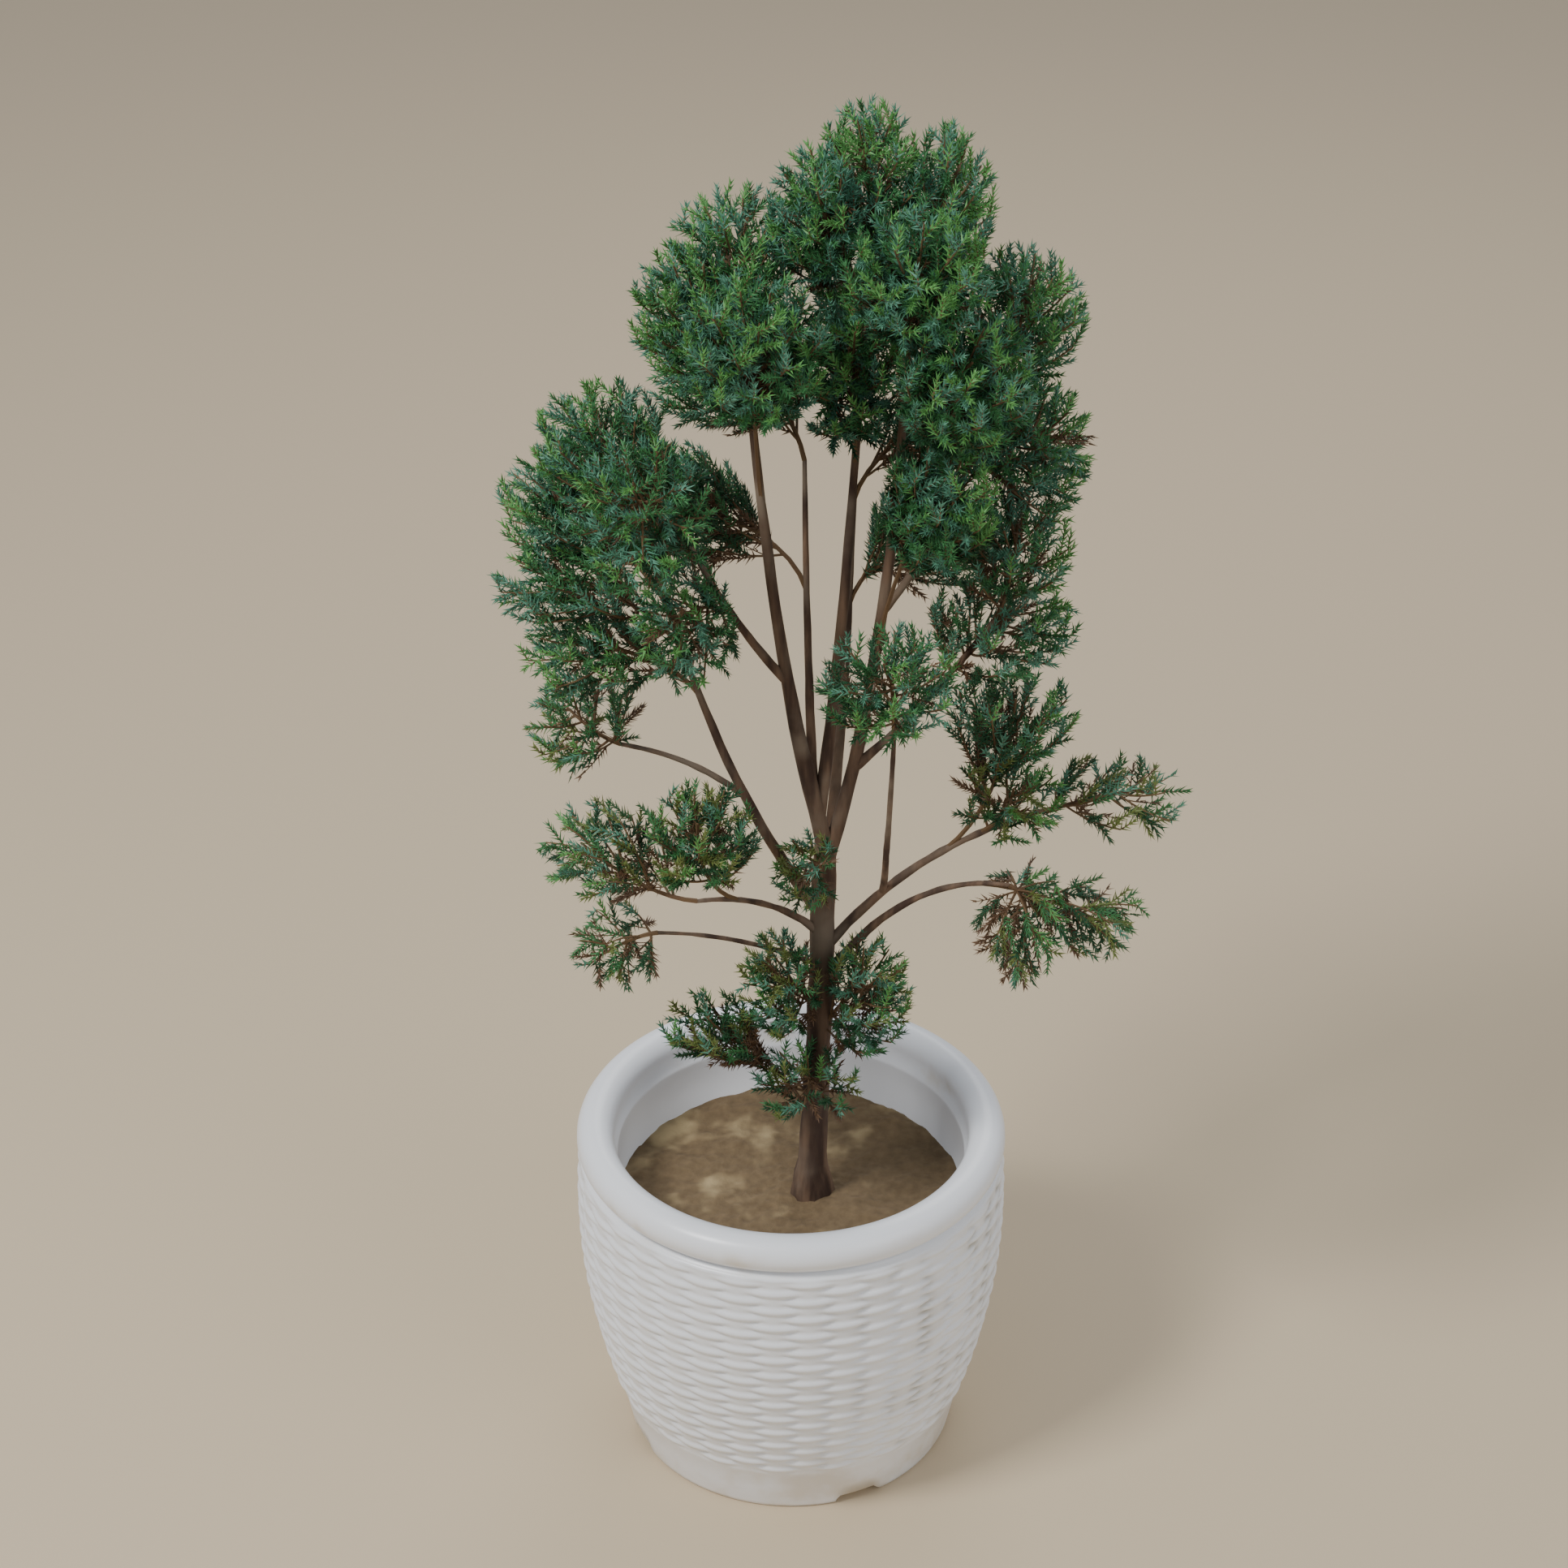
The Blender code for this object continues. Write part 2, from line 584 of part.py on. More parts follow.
def walls_of(mass):
    """The planes between this mass's space and each neighbour's, as points and outward normals."""
    centre, radii = np.array(mass.centre, float), np.array(mass.radii, float)
    spots, normals = [], []
    for other in MASSES:
        if other is mass:
            continue
        way = np.array(other.centre, float) - centre
        distance = np.linalg.norm(way)
        normal = way / distance
        own = np.linalg.norm(radii * normal)
        theirs = np.linalg.norm(np.array(other.radii) * normal)
        spots.append(centre + way * own / (own + theirs))
        normals.append(normal)
    return np.array(spots), np.array(normals)


def in_space(samples, mass, walls):
    """Which samples are in the mass's ellipsoid and on its side of every wall."""
    scaled = (samples - np.array(mass.centre)) / np.array(mass.radii)
    spots, normals = walls
    beyond = np.einsum("nmk,mk->nm", samples[:, None, :] - spots[None], normals)
    return (np.linalg.norm(scaled, axis=1) <= SPACE_REACH) & (beyond <= -GAP).all(axis=1)


def free(samples, mass, walls, obstacles):
    """Whether all samples keep to the mass's space and clear of limbs and other stems."""
    if not in_space(samples, mass, walls).all():
        return False
    return skin_distance(samples, *obstacles).min() > CLEARANCE


def along_line(start, end):
    steps = max(1, math.ceil((end - start).length / SAMPLE_STEP))
    return np.array([start.lerp(end, k / steps) for k in range(steps + 1)])


def rib_of(root, target, sag):
    """A twig's bent middle line: its root, the bases of its shoots and its tip."""
    way = target - root
    handle = root + way * 0.5 + Vector((0.0, 0.0, -sag * way.length))
    pairs = max(1, min(PAIRS_MOST, round(way.length * (0.95 - BARE_SHARE) / TOOTH_PITCH)))
    shares = [0.0] + [BARE_SHARE + (0.92 - BARE_SHARE) * i / pairs for i in range(pairs + 1)] + [1.0]
    return shares, [(1 - t) ** 2 * root + 2 * t * (1 - t) * handle + t * t * target for t in shares]


def sides_of(rib, outward):
    """The directions along, sideways and outward at each point of a rib."""
    made = []
    for i in range(len(rib)):
        before, after = rib[max(i - 1, 0)], rib[min(i + 1, len(rib) - 1)]
        along = (after - before).normalized()
        side = along.cross(outward)
        side = side.normalized() if side.length > 0.05 else along.orthogonal().normalized()
        made.append((along, side, side.cross(along).normalized()))
    return made


def tooth_tip(base, frame, hand, length, rng, fits):
    """Where a shoot ends, made shorter or left out where it would leave the space or touch a limb."""
    along, side, face = frame
    lift = face * TOOTH_LIFT * rng.uniform(-0.4, 1.0)
    reach = along * math.cos(TOOTH_ANGLE) + side * hand * math.sin(TOOTH_ANGLE) + lift
    for shrink in TOOTH_SHRINKS:
        tip = base + reach * length * shrink
        if fits(along_line(base.lerp(tip, 0.3), tip)):
            return tip
    return None


def spray_shape(rib, shares, outward, rng, fits):
    """A three-sided twig whose two edges carry pairs of pointed shoots, as points and faces."""
    frames = sides_of(rib, outward)
    points, faces, rings = [], [], []
    for share, point, (along, side, face) in zip(shares[:-1], rib, frames):
        r = TWIG_ROOT_R + (TWIG_END_R - TWIG_ROOT_R) * share
        rings.append(len(points))
        points += [point + side * r - face * 0.4 * r, point - side * r - face * 0.4 * r, point + face * 0.9 * r]
    faces.append((rings[0], rings[0] + 1, rings[0] + 2))
    pairs = len(rings) - 2
    for i, (a, b) in enumerate(zip(rings, rings[1:])):
        length = TOOTH_LENGTH * (1.0 - TOOTH_TAPER * (i - 1) / pairs) * rng.uniform(0.88, 1.12)
        middle = rib[i].lerp(rib[i + 1], 0.5)
        corners = []
        for hand in (1.0, -1.0):
            tip = tooth_tip(middle, frames[i], hand, length, rng, fits) if i else None
            corners.append(() if tip is None else (len(points),))
            points += [] if tip is None else [tip]
        left, right = corners
        faces += [(a + 2, b + 2, b, *left, a), (a + 2, a + 1, *right, b + 1, b + 2)]
        faces.append((a, *left, b, b + 1, *right, a + 1))
    end, last = len(points), rings[-1]
    points.append(rib[-1])
    faces += [(last, end, last + 1), (last + 1, end, last + 2), (last + 2, end, last)]
    return points, faces


def outward_at(point):
    """Sprays stand like fans round the plant, their flat sides facing away from its middle."""
    return Vector((point.x - CROWN_AXIS[0], point.y - CROWN_AXIS[1], 0.0)).normalized()


def even_directions(axis, phase, count):
    """Directions round an axis, so spread that any first few of them are even as well."""
    across = axis.orthogonal().normalized()
    beside = axis.cross(across)
    for k in range(count):
        cosine = 1.0 - (1.0 - BACKWARD) * halving(k)
        sine = math.sqrt(max(0.0, 1.0 - cosine * cosine))
        turn = phase + k * GOLDEN_TURN
        yield axis * cosine + (across * math.cos(turn) + beside * math.sin(turn)) * sine


def halving(k):
    """The k-th of the numbers 0, 1/2, 1/4, 3/4, 1/8 ... that halve the gaps between 0 and 1."""
    value, part = 0.0, 0.5
    while k:
        value += part * (k & 1)
        k >>= 1
        part *= 0.5
    return value


def sprays_of(mass, stem, obstacles, walls, rng):
    """Twigs with shoots, each from the stem to the edge of the space, where there is room for them."""
    points, _ = stem
    axis = growing_axis(mass, points[0])
    chord = points[-1] - points[0]
    broad = math.pi * math.sqrt(mass.radii[0] * mass.radii[1]) * mass.radii[2]
    wanted = max(SPRAYS_LEAST, min(SPRAYS_MOST, round(broad / SPRAY_AREA)))
    sag = DROOP_SAG if mass.name in DROOPING else RISE_SAG
    made = []

    def fits(samples):
        return free(samples, mass, walls, obstacles)

    for k, direction in enumerate(even_directions(axis, rng.uniform(0.0, 2.0 * math.pi), 4 * wanted)):
        spray_rng = random.Random(rng.random())
        for shrink in SHRINKS:
            target = within(mass, direction, shrink)
            share = (target - points[0]).dot(chord) / chord.length_squared - LEAVING_LEAD
            share = 0.985 if k == 0 else max(0.2, min(0.94, share))
            root, _, _ = place_on(stem, share)
            shares, rib = rib_of(root, target, 0.0 if k == 0 else sag)
            if fits(along_line(rib[1], target)):
                made.append(spray_shape(rib, shares, outward_at(target), spray_rng, fits))
                break
        if len(made) == wanted:
            break
    return made


def make_mass(mass, paths, stems, sides, collection, cutter_collection):
    others = [s for name, s in stems.items() if name != mass.name]
    obstacles = segments_of(list(paths.values()) + others)
    for attempt in range(TRIES_MOST):
        rng = random.Random(MASSES.index(mass) + 101 + 1000 * attempt)
        body = grow_mass(mass, paths, stems[mass.name], obstacles, rng, sides, collection, cutter_collection)
        if len(body.data.polygons) >= FACES_LEAST and is_sound(body) or attempt == TRIES_MOST - 1:
            return body
        bpy.data.objects.remove(body)


def grow_mass(mass, paths, stem, obstacles, rng, sides, collection, cutter_collection):
    body = tube(mass.name, stem, STEM_SIDES, collection)
    union = bpy.data.collections.new(mass.name + "_sprays")
    bpy.context.scene.collection.children.link(union)
    for k, (points, faces) in enumerate(sprays_of(mass, stem, obstacles, walls_of(mass), rng)):
        spray = object_from(f"{mass.name}_spray_{k}", points, faces, union)
        bm = bmesh.new()
        bm.from_mesh(spray.data)
        bmesh.ops.triangulate(bm, faces=bm.faces)
        bmesh.ops.recalc_face_normals(bm, faces=bm.faces)
        bm.to_mesh(spray.data)
        bm.free()
    bpy.context.view_layer.update()
    if union.objects:
        boolean(body, "UNION", collection=union)
    for spray in list(union.objects):
        bpy.data.objects.remove(spray)
    bpy.data.collections.remove(union)
    keep_largest(body)
    if mass.share < 1.0:
        cut_clear(body, stem, [mass.limb], paths, sides, cutter_collection)
    return body


def main():
    parts = start_clean()
    cutters = bpy.data.collections.new("cutters")
    bpy.context.scene.collection.children.link(cutters)
    materials = {name: principled(name) for name in COLOURS}

    shade(make_pot(parts, cutters), materials["pot"], angle=50.0)
    shade(make_soil(parts), materials["soil"])

    paths, sides = {"trunk": trunk_path()}, {"trunk": TRUNK_SIDES}
    shade(tube("trunk", paths["trunk"], TRUNK_SIDES, parts), materials["bark"])
    for limb in LIMBS:
        path = limb_path(limb, paths)
        bough = tube(limb.name, path, BOUGH_SIDES, parts)
        cut_clear(bough, path, list(paths), paths, sides, cutters)
        shade(bough, materials["bark"], angle=50.0)
        paths[limb.name], sides[limb.name] = path, BOUGH_SIDES

    stems = {mass.name: stem_path(mass, paths) for mass in MASSES}
    for mass in MASSES:
        body = make_mass(mass, paths, stems, sides, parts, cutters)
        shade(body, materials["foliage"], angle=20.0)
    return parts


main()
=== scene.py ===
# %% [markdown]
# # A young conifer in a woven white pot
# The real thing is a young conifer in a moulded pot: a trunk forks into leaders and boughs, and
# these carry masses of short needles. The solids of the shared frame give every limb and every
# mass its place. This script grows finer twigs and needles in the same places, remakes the pot's
# weave and the soil, and then lights and frames the plant.

import json
import math
from collections import namedtuple

import bpy
import numpy as np
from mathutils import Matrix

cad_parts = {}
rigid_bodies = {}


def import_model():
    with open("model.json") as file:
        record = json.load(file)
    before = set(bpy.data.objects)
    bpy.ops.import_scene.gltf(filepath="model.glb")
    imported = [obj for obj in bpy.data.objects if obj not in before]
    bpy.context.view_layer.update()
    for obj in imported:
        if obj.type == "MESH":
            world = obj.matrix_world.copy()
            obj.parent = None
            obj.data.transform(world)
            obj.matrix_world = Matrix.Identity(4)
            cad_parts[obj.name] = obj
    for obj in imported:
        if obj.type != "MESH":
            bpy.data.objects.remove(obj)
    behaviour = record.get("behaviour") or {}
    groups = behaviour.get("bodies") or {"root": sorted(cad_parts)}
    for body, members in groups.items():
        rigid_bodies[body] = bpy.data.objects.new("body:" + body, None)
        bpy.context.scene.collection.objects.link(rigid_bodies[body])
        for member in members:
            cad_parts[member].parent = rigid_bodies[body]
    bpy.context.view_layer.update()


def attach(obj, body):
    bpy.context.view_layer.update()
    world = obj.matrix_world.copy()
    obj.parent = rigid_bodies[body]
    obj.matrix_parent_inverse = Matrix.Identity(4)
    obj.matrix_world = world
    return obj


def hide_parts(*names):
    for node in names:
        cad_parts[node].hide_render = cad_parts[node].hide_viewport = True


MM = 0.001
SEED = 11
FULL_TURN = 2.0 * math.pi
ANY_TURN = 6.3  # the range of a random turn, a little over a full one

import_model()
rng = np.random.default_rng(SEED)

# %% [markdown]
# A finish is a network of nodes, and its maths is hard to read as a list of links. So a small
# class wraps one socket and overloads the operators: `1.0 - mask` then adds a Math node by
# itself, and a pattern reads like the formula that it is.


# %% A socket that can be added, subtracted and multiplied
class Value:
    def __init__(self, graph, socket):
        self.graph, self.socket = graph, socket

    def math(self, operation, other, swap=False):
        pair = (other, self) if swap else (self, other)
        return self.graph.node("ShaderNodeMath", {"operation": operation}, {0: pair[0], 1: pair[1]})

    def __add__(self, other):
        return self.math("ADD", other)

    def __radd__(self, other):
        return self.math("ADD", other, True)

    def __sub__(self, other):
        return self.math("SUBTRACT", other)

    def __rsub__(self, other):
        return self.math("SUBTRACT", other, True)

    def __mul__(self, other):
        return self.math("MULTIPLY", other)

    def __rmul__(self, other):
        return self.math("MULTIPLY", other, True)

    def between(self, low, high):
        """0 below low, 1 above high and a smooth step from one to the other."""
        inputs = {"Value": self, "From Min": low, "From Max": high}
        return self.graph.node("ShaderNodeMapRange", {"interpolation_type": "SMOOTHSTEP"}, inputs)


print("operators + - * work with a socket on either side")

# %% [markdown]
# Every other node comes from one method that takes its type, its settings and its inputs. A
# material starts as one Principled shader, and patterns are mixed into its colour or its bump.
# All patterns read Object coordinates, so they need no unwrapping and have no seams.


# %% One material as a graph
class Graph:
    def __init__(self, name, roughness, colour=(0.5, 0.5, 0.5)):
        self.material = bpy.data.materials.new(name)
        self.material.use_nodes = True
        self.nodes, self.links = self.material.node_tree.nodes, self.material.node_tree.links
        self.shader = self.nodes["Principled BSDF"]
        self.feed(self.shader.inputs["Roughness"], roughness)
        self.feed(self.shader.inputs["Base Color"], (*colour, 1.0))

    def feed(self, socket, value):
        if isinstance(value, Value):
            self.links.new(value.socket, socket)
        else:
            socket.default_value = value

    def node(self, kind, settings, inputs, output=0):
        made = self.nodes.new(kind)
        for name, setting in settings.items():
            setattr(made, name, setting)
        for key, value in inputs.items():
            self.feed(made.inputs[key], value)
        return Value(self, made.outputs[output])

    def place(self):
        return self.node("ShaderNodeTexCoord", {}, {}, "Object")

    def noise(self, scale, detail=3.0, stretch=(1.0, 1.0, 1.0)):
        spot = self.node("ShaderNodeMapping", {}, {"Vector": self.place(), "Scale": stretch})
        return self.node("ShaderNodeTexNoise", {}, {"Vector": spot, "Scale": scale, "Detail": detail})

    def mix(self, factor, first, second):
        """The Mix node keeps its two colours in sockets 6 and 7 and its mixed colour in output 2."""
        inputs = {0: factor}
        for key, colour in ((6, first), (7, second)):
            inputs[key] = colour if isinstance(colour, Value) else (*colour, 1.0)
        return self.node("ShaderNodeMix", {"data_type": "RGBA"}, inputs, 2)

    def finish(self, colour, height=None, depth=0.001):
        self.feed(self.shader.inputs["Base Color"], colour)
        if height is not None:
            bump = self.node("ShaderNodeBump", {}, {"Height": height, "Distance": depth})
            self.feed(self.shader.inputs["Normal"], bump)
        return self.material


print("materials are made by", Graph.__name__)

# %% [markdown]
# On the plant each limb leaves its parent somewhere along it and bends towards its tip. One row
# says where: the share of the parent's length, the tip in millimetres, how much of the way out
# and of the way up the bend's handle has made, and the radii at both ends. Limbs could be drawn by
# hand, but a table is easy to read and keeps them where the solids have them.

# %% The limbs
Limb = namedtuple("Limb", "name parent share tip out up root_r tip_r")
LIMBS = [Limb(*row) for row in (
    ("leader_left", "trunk", 0.985, (-27, -10, 812), 0.70, 0.42, 6.0, 2.2),
    ("leader_right", "trunk", 0.93, (69, 5, 820), 0.85, 0.40, 5.4, 2.2),
    ("leader_mid", "leader_left", 0.06, (44, 30, 845), 0.75, 0.45, 4.4, 2.0),
    ("leader_mid_left", "leader_left", 0.10, (8, 48, 715), 0.75, 0.40, 3.4, 1.6),
    ("leader_back", "trunk", 0.86, (40, 80, 730), 0.90, 0.40, 4.4, 1.8),
    ("bough_left", "trunk", 0.80, (-79, -25, 667), 0.62, 0.38, 4.6, 1.9),
    ("bough_left_side", "bough_left", 0.40, (-107, -15, 549), 0.40, 0.75, 2.4, 1.4),
    ("bough_shoulder", "leader_left", 0.36, (-68, -30, 711), 0.55, 0.40, 3.2, 1.6),
    ("bough_low_left", "trunk", 0.745, (-60, -40, 448), 0.40, 0.85, 2.9, 1.4),
    ("twig_low_left", "trunk", 0.66, (-86, -25, 414), 0.50, 0.80, 2.0, 1.2),
    ("bough_right_a", "trunk", 0.70, (160, -10, 497), 0.38, 0.72, 3.8, 1.6),
    ("bough_right_b", "trunk", 0.62, (138, -40, 460), 0.45, 0.98, 3.2, 1.4),
    ("stem_right_front", "bough_right_a", 0.34, (62, -70, 585), 0.55, 0.35, 2.6, 1.4),
    ("bough_right_mid", "leader_right", 0.20, (124, -20, 640), 0.50, 0.40, 3.0, 1.6),
    ("bough_right_top", "leader_right", 0.50, (116, -5, 763), 0.60, 0.40, 2.8, 1.5),
)]
print(len(LIMBS), "limbs")

# %% [markdown]
# Each mass of foliage sits on a limb and fills an ellipsoid. Its row gives the share of the
# limb's length where it grows, its centre and its three radii, all as in the solids. A particle
# system could scatter foliage over the crown, but then no mass would keep its place or its name.

# %% The masses
Mass = namedtuple("Mass", "name limb share centre radii")
MASSES = [Mass(*row) for row in (
    ("crown_top", "leader_mid", 1.0, (44, 22, 906), (32, 46, 47)),
    ("crown_top_left", "leader_mid", 0.90, (13, -8, 896), (26, 44, 42)),
    ("crown_top_right", "leader_right", 1.0, (91, 22, 891), (27, 46, 47)),
    ("crown_bright_front", "leader_right", 0.88, (70, -72, 884), (44, 50, 38)),
    ("upper_left_top", "leader_left", 1.0, (-30, 10, 868), (42, 50, 37)),
    ("upper_left_outer", "leader_left", 0.84, (-60, -15, 838), (34, 50, 43)),
    ("upper_left_front", "leader_left", 0.72, (-21, -86, 846), (42, 48, 46)),
    ("upper_right_outer", "bough_right_top", 1.0, (136, 0, 831), (36, 52, 40)),
    ("upper_right_front", "leader_right", 0.66, (98, -86, 826), (40, 48, 42)),
    ("crown_heart", "leader_mid", 0.66, (34, -26, 806), (32, 44, 50)),
    ("right_middle_top", "bough_right_top", 0.80, (144, 0, 746), (36, 52, 43)),
    ("right_middle_low", "bough_right_mid", 1.0, (134, -15, 687), (37, 50, 34)),
    ("right_inner", "leader_right", 0.42, (86, -72, 746), (34, 46, 42)),
    ("shoulder_top", "bough_left", 1.0, (-115, 6, 746), (42, 50, 36)),
    ("shoulder_outer", "bough_left", 0.93, (-145, 12, 702), (34, 48, 37)),
    ("shoulder_front", "bough_shoulder", 1.0, (-87, -80, 738), (42, 48, 46)),
    ("shoulder_low", "bough_left", 0.82, (-139, -22, 667), (42, 44, 25)),
    ("left_mid", "bough_left", 0.70, (-124, -28, 622), (42, 44, 27)),
    ("left_low", "bough_left_side", 1.0, (-129, -6, 558), (37, 42, 30)),
    ("left_mid_inner", "bough_shoulder", 0.45, (-63, -58, 655), (33, 42, 38)),
    ("left_droop_outer", "bough_low_left", 1.0, (-117, -20, 474), (44, 40, 29)),
    ("left_droop_inner", "bough_low_left", 0.72, (-55, -62, 508), (35, 38, 37)),
    ("left_fringe", "twig_low_left", 1.0, (-110, -25, 406), (31, 36, 26)),
    ("front_tuft", "stem_right_front", 1.0, (58, -96, 635), (42, 42, 36)),
    ("right_low_mid", "bough_right_mid", 0.62, (128, -12, 630), (50, 46, 30)),
    ("right_mid_lower", "bough_right_a", 0.62, (137, -12, 569), (42, 40, 25)),
    ("right_lower_tip", "bough_right_a", 1.0, (205, 0, 500), (50, 40, 22)),
    ("right_lower_inner", "bough_right_a", 0.76, (136, -32, 519), (36, 40, 25)),
    ("right_droop", "bough_right_b", 1.0, (146, -38, 434), (29, 36, 47)),
    ("right_fringe", "bough_right_b", 0.90, (194, -28, 428), (34, 34, 21)),
    ("trunk_tuft", "trunk", 0.90, (10, -34, 466), (21, 26, 26)),
    ("foot_left", "trunk", 0.50, (-8, -34, 378), (27, 32, 39)),
    ("foot_right", "trunk", 0.44, (50, -26, 364), (28, 34, 46)),
    ("foot_low", "trunk", 0.26, (10, -34, 300), (35, 32, 28)),
    ("foot_sprig", "trunk", 0.17, (-54, -24, 338), (32, 30, 22)),
    ("back_top", "leader_back", 1.0, (58, 86, 815), (50, 48, 52)),
    ("back_left", "leader_mid_left", 1.0, (-40, 84, 765), (50, 48, 50)),
    ("back_right", "leader_back", 0.82, (112, 88, 728), (50, 48, 48)),
    ("back_left_low", "leader_mid_left", 0.62, (-76, 70, 668), (50, 46, 44)),
    ("back_right_low", "leader_back", 0.60, (92, 92, 640), (46, 44, 38)),
)]
DROOPING = ("left_fringe", "right_droop", "left_droop_outer", "right_fringe")
mass_names = [mass.name for mass in MASSES]
print(len(mass_names), "masses")

# %% [markdown]
# A limb could be drawn as a curve object, but its relief needs the points themselves. So each
# limb is worked out here as a bent line with a radius at every point: the trunk first, with the
# flare at its foot, and then each limb from its parent.

# %% The middle lines of trunk and limbs
TRUNK_FOOT, TRUNK_FORK = np.array((14.0, 0.0, 185.0)), np.array((22.0, 2.0, 466.0))
ABOVE_FLARE = (0, 0, 16)
TRUNK_BOW = (2, 0, 0)
TRUNK_STEPS, LIMB_STEPS = 24, 20
FLARE_R, TRUNK_R, TRUNK_THINNING, FLARE_RISE = 14.5, 9.3, 1.9, 3
LIMB_TAPER = 0.8


def unit(vectors):
    return vectors / np.maximum(np.linalg.norm(vectors, axis=-1, keepdims=True), 1e-9)


def bezier(start, handle, end, steps):
    t = np.linspace(0.0, 1.0, steps + 1)[:, None]
    return (1 - t) ** 2 * start + 2 * t * (1 - t) * handle + t * t * end


def place_on(points, share):
    """The point and the direction at a share of a line's length."""
    lengths = np.linalg.norm(np.diff(points, axis=0), axis=1)
    sums = np.concatenate([[0.0], np.cumsum(lengths)])
    spot = share * sums[-1]
    i = min(int(np.searchsorted(sums, spot, side="right")) - 1, len(lengths) - 1)
    t = (spot - sums[i]) / lengths[i]
    return points[i] + (points[i + 1] - points[i]) * t, unit(points[i + 1] - points[i])


def trunk_line():
    handle = (TRUNK_FOOT + TRUNK_FORK) / 2 + TRUNK_BOW
    points = np.vstack([TRUNK_FOOT, bezier(TRUNK_FOOT + ABOVE_FLARE, handle, TRUNK_FORK, TRUNK_STEPS)])
    thinner = TRUNK_R - TRUNK_THINNING * np.linspace(0, 1, TRUNK_STEPS + 1)
    flare = FLARE_RISE * np.exp(-np.arange(TRUNK_STEPS + 1))
    return points, np.concatenate([[FLARE_R], thinner + flare])


def limb_line(limb, parent_points):
    start, _ = place_on(parent_points, limb.share)
    way = np.array(limb.tip, float) - start
    points = bezier(start, start + way * (limb.out, limb.out, limb.up), start + way, LIMB_STEPS)
    taper = np.linspace(0, 1, LIMB_STEPS + 1) ** LIMB_TAPER
    return points, limb.root_r + (limb.tip_r - limb.root_r) * taper


paths = {"trunk": trunk_line()}
for limb in LIMBS:
    paths[limb.name] = limb_line(limb, paths[limb.parent][0])
print(len(paths), "lines, the trunk's with", len(paths["trunk"][0]), "points")

# %% [markdown]
# A plant has hundreds of thousands of small faces, and adding them one by one would take
# minutes. So points and faces are worked out as arrays and given to a mesh in one go.


# %% From arrays to a mesh
def ring_sides(rings, around):
    """The numbers of the two points on each side of each ring but the last."""
    i, k = np.meshgrid(np.arange(rings - 1), np.arange(around), indexing="ij")
    return i * around + k, i * around + (k + 1) % around


def ring_quads(rings, around):
    a, b = ring_sides(rings, around)
    return np.stack([a, a + around, b + around, b], -1).reshape(-1, 4)


def mesh_object(name, parts, material, smooth=False):
    """One object from many (points, faces) parts in millimetres, riding on the plant's one body."""
    offsets = np.cumsum([0] + [len(points) for points, _ in parts[:-1]])
    verts = np.vstack([points for points, _ in parts]) * MM
    faces = np.vstack([part[1] + offset for part, offset in zip(parts, offsets)]).astype(np.int32)
    mesh = bpy.data.meshes.new(name)
    mesh.vertices.add(len(verts))
    mesh.vertices.foreach_set("co", verts.ravel().astype(np.float32))
    mesh.loops.add(faces.size)
    mesh.loops.foreach_set("vertex_index", faces.ravel())
    mesh.polygons.add(len(faces))
    mesh.polygons.foreach_set("loop_start", np.arange(len(faces), dtype=np.int32) * faces.shape[1])
    mesh.polygons.foreach_set("use_smooth", np.full(len(faces), smooth))
    mesh.update(calc_edges=True)
    mesh.validate()
    mesh.materials.append(material)
    made = bpy.data.objects.new(name, mesh)
    bpy.context.scene.collection.objects.link(made)
    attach(made, "root")
    return made


print("a strip of 3 rings of 4 points has", len(ring_quads(3, 4)), "quads")

# %% [markdown]
# Bark and soil are uneven, and the unevenness has to be in the mesh to show at an edge. A few
# sine waves in random directions make a smooth noise that needs no texture. A tube then takes
# a line, its radii and, for bark, some of that noise drawn out along the grain.

# %% Noise and tubes
RIPPLE_WAVES, RIPPLE_LEVEL = 14, 4.0  # the level brings the sum of the waves to about -1 to 1
WAVE_RANGE = (2, 9)
GRAIN_STRETCH = (1, 1, 0.16)
GRAIN_SIZE, GRAIN_SEED = 9.0, 4


def ripple(points, size, seed):
    """Smooth noise, mostly between -1 and 1, from sine waves in many directions."""
    waves = np.random.default_rng(seed)
    total = np.zeros(len(points))
    for _ in range(RIPPLE_WAVES):
        wave = unit(waves.normal(size=3)) / size * waves.uniform(*WAVE_RANGE)
        total += np.sin(points @ wave + waves.uniform(0, ANY_TURN))
    return total / RIPPLE_LEVEL


def tube(points, radii, sides, relief=0.0):
    """A tapering tube, open at its root, which sits in its parent, and pointed at its tip."""
    along = unit(np.gradient(points, axis=0))
    helper = np.eye(3)[np.argmin(np.abs(along.mean(axis=0)))]
    across = unit(np.cross(along, helper))
    beside = np.cross(along, across)
    turns = np.linspace(0, FULL_TURN, sides, endpoint=False)
    ring = across[:, None] * np.cos(turns)[None, :, None] + beside[:, None] * np.sin(turns)[None, :, None]
    radii = np.asarray(radii)[:, None] * np.ones((1, sides))
    if relief:
        skin = (points[:, None] + ring * radii[..., None]).reshape(-1, 3) * GRAIN_STRETCH
        radii = radii * (1 + relief * ripple(skin, GRAIN_SIZE, GRAIN_SEED).reshape(radii.shape))
    verts = (points[:, None] + ring * radii[..., None]).reshape(-1, 3)
    verts = np.vstack([verts, points[-1] + along[-1] * radii[-1].mean()])
    a, b = ring_sides(len(points), sides)
    lower = np.stack([a, b, b + sides], -1).reshape(-1, 3)
    upper = np.stack([a, b + sides, a + sides], -1).reshape(-1, 3)
    last = (len(points) - 1) * sides + np.arange(sides)
    cap = np.stack([last, np.roll(last, -1), np.full(sides, len(verts) - 1)], -1)
    return verts, np.vstack([lower, upper, cap])


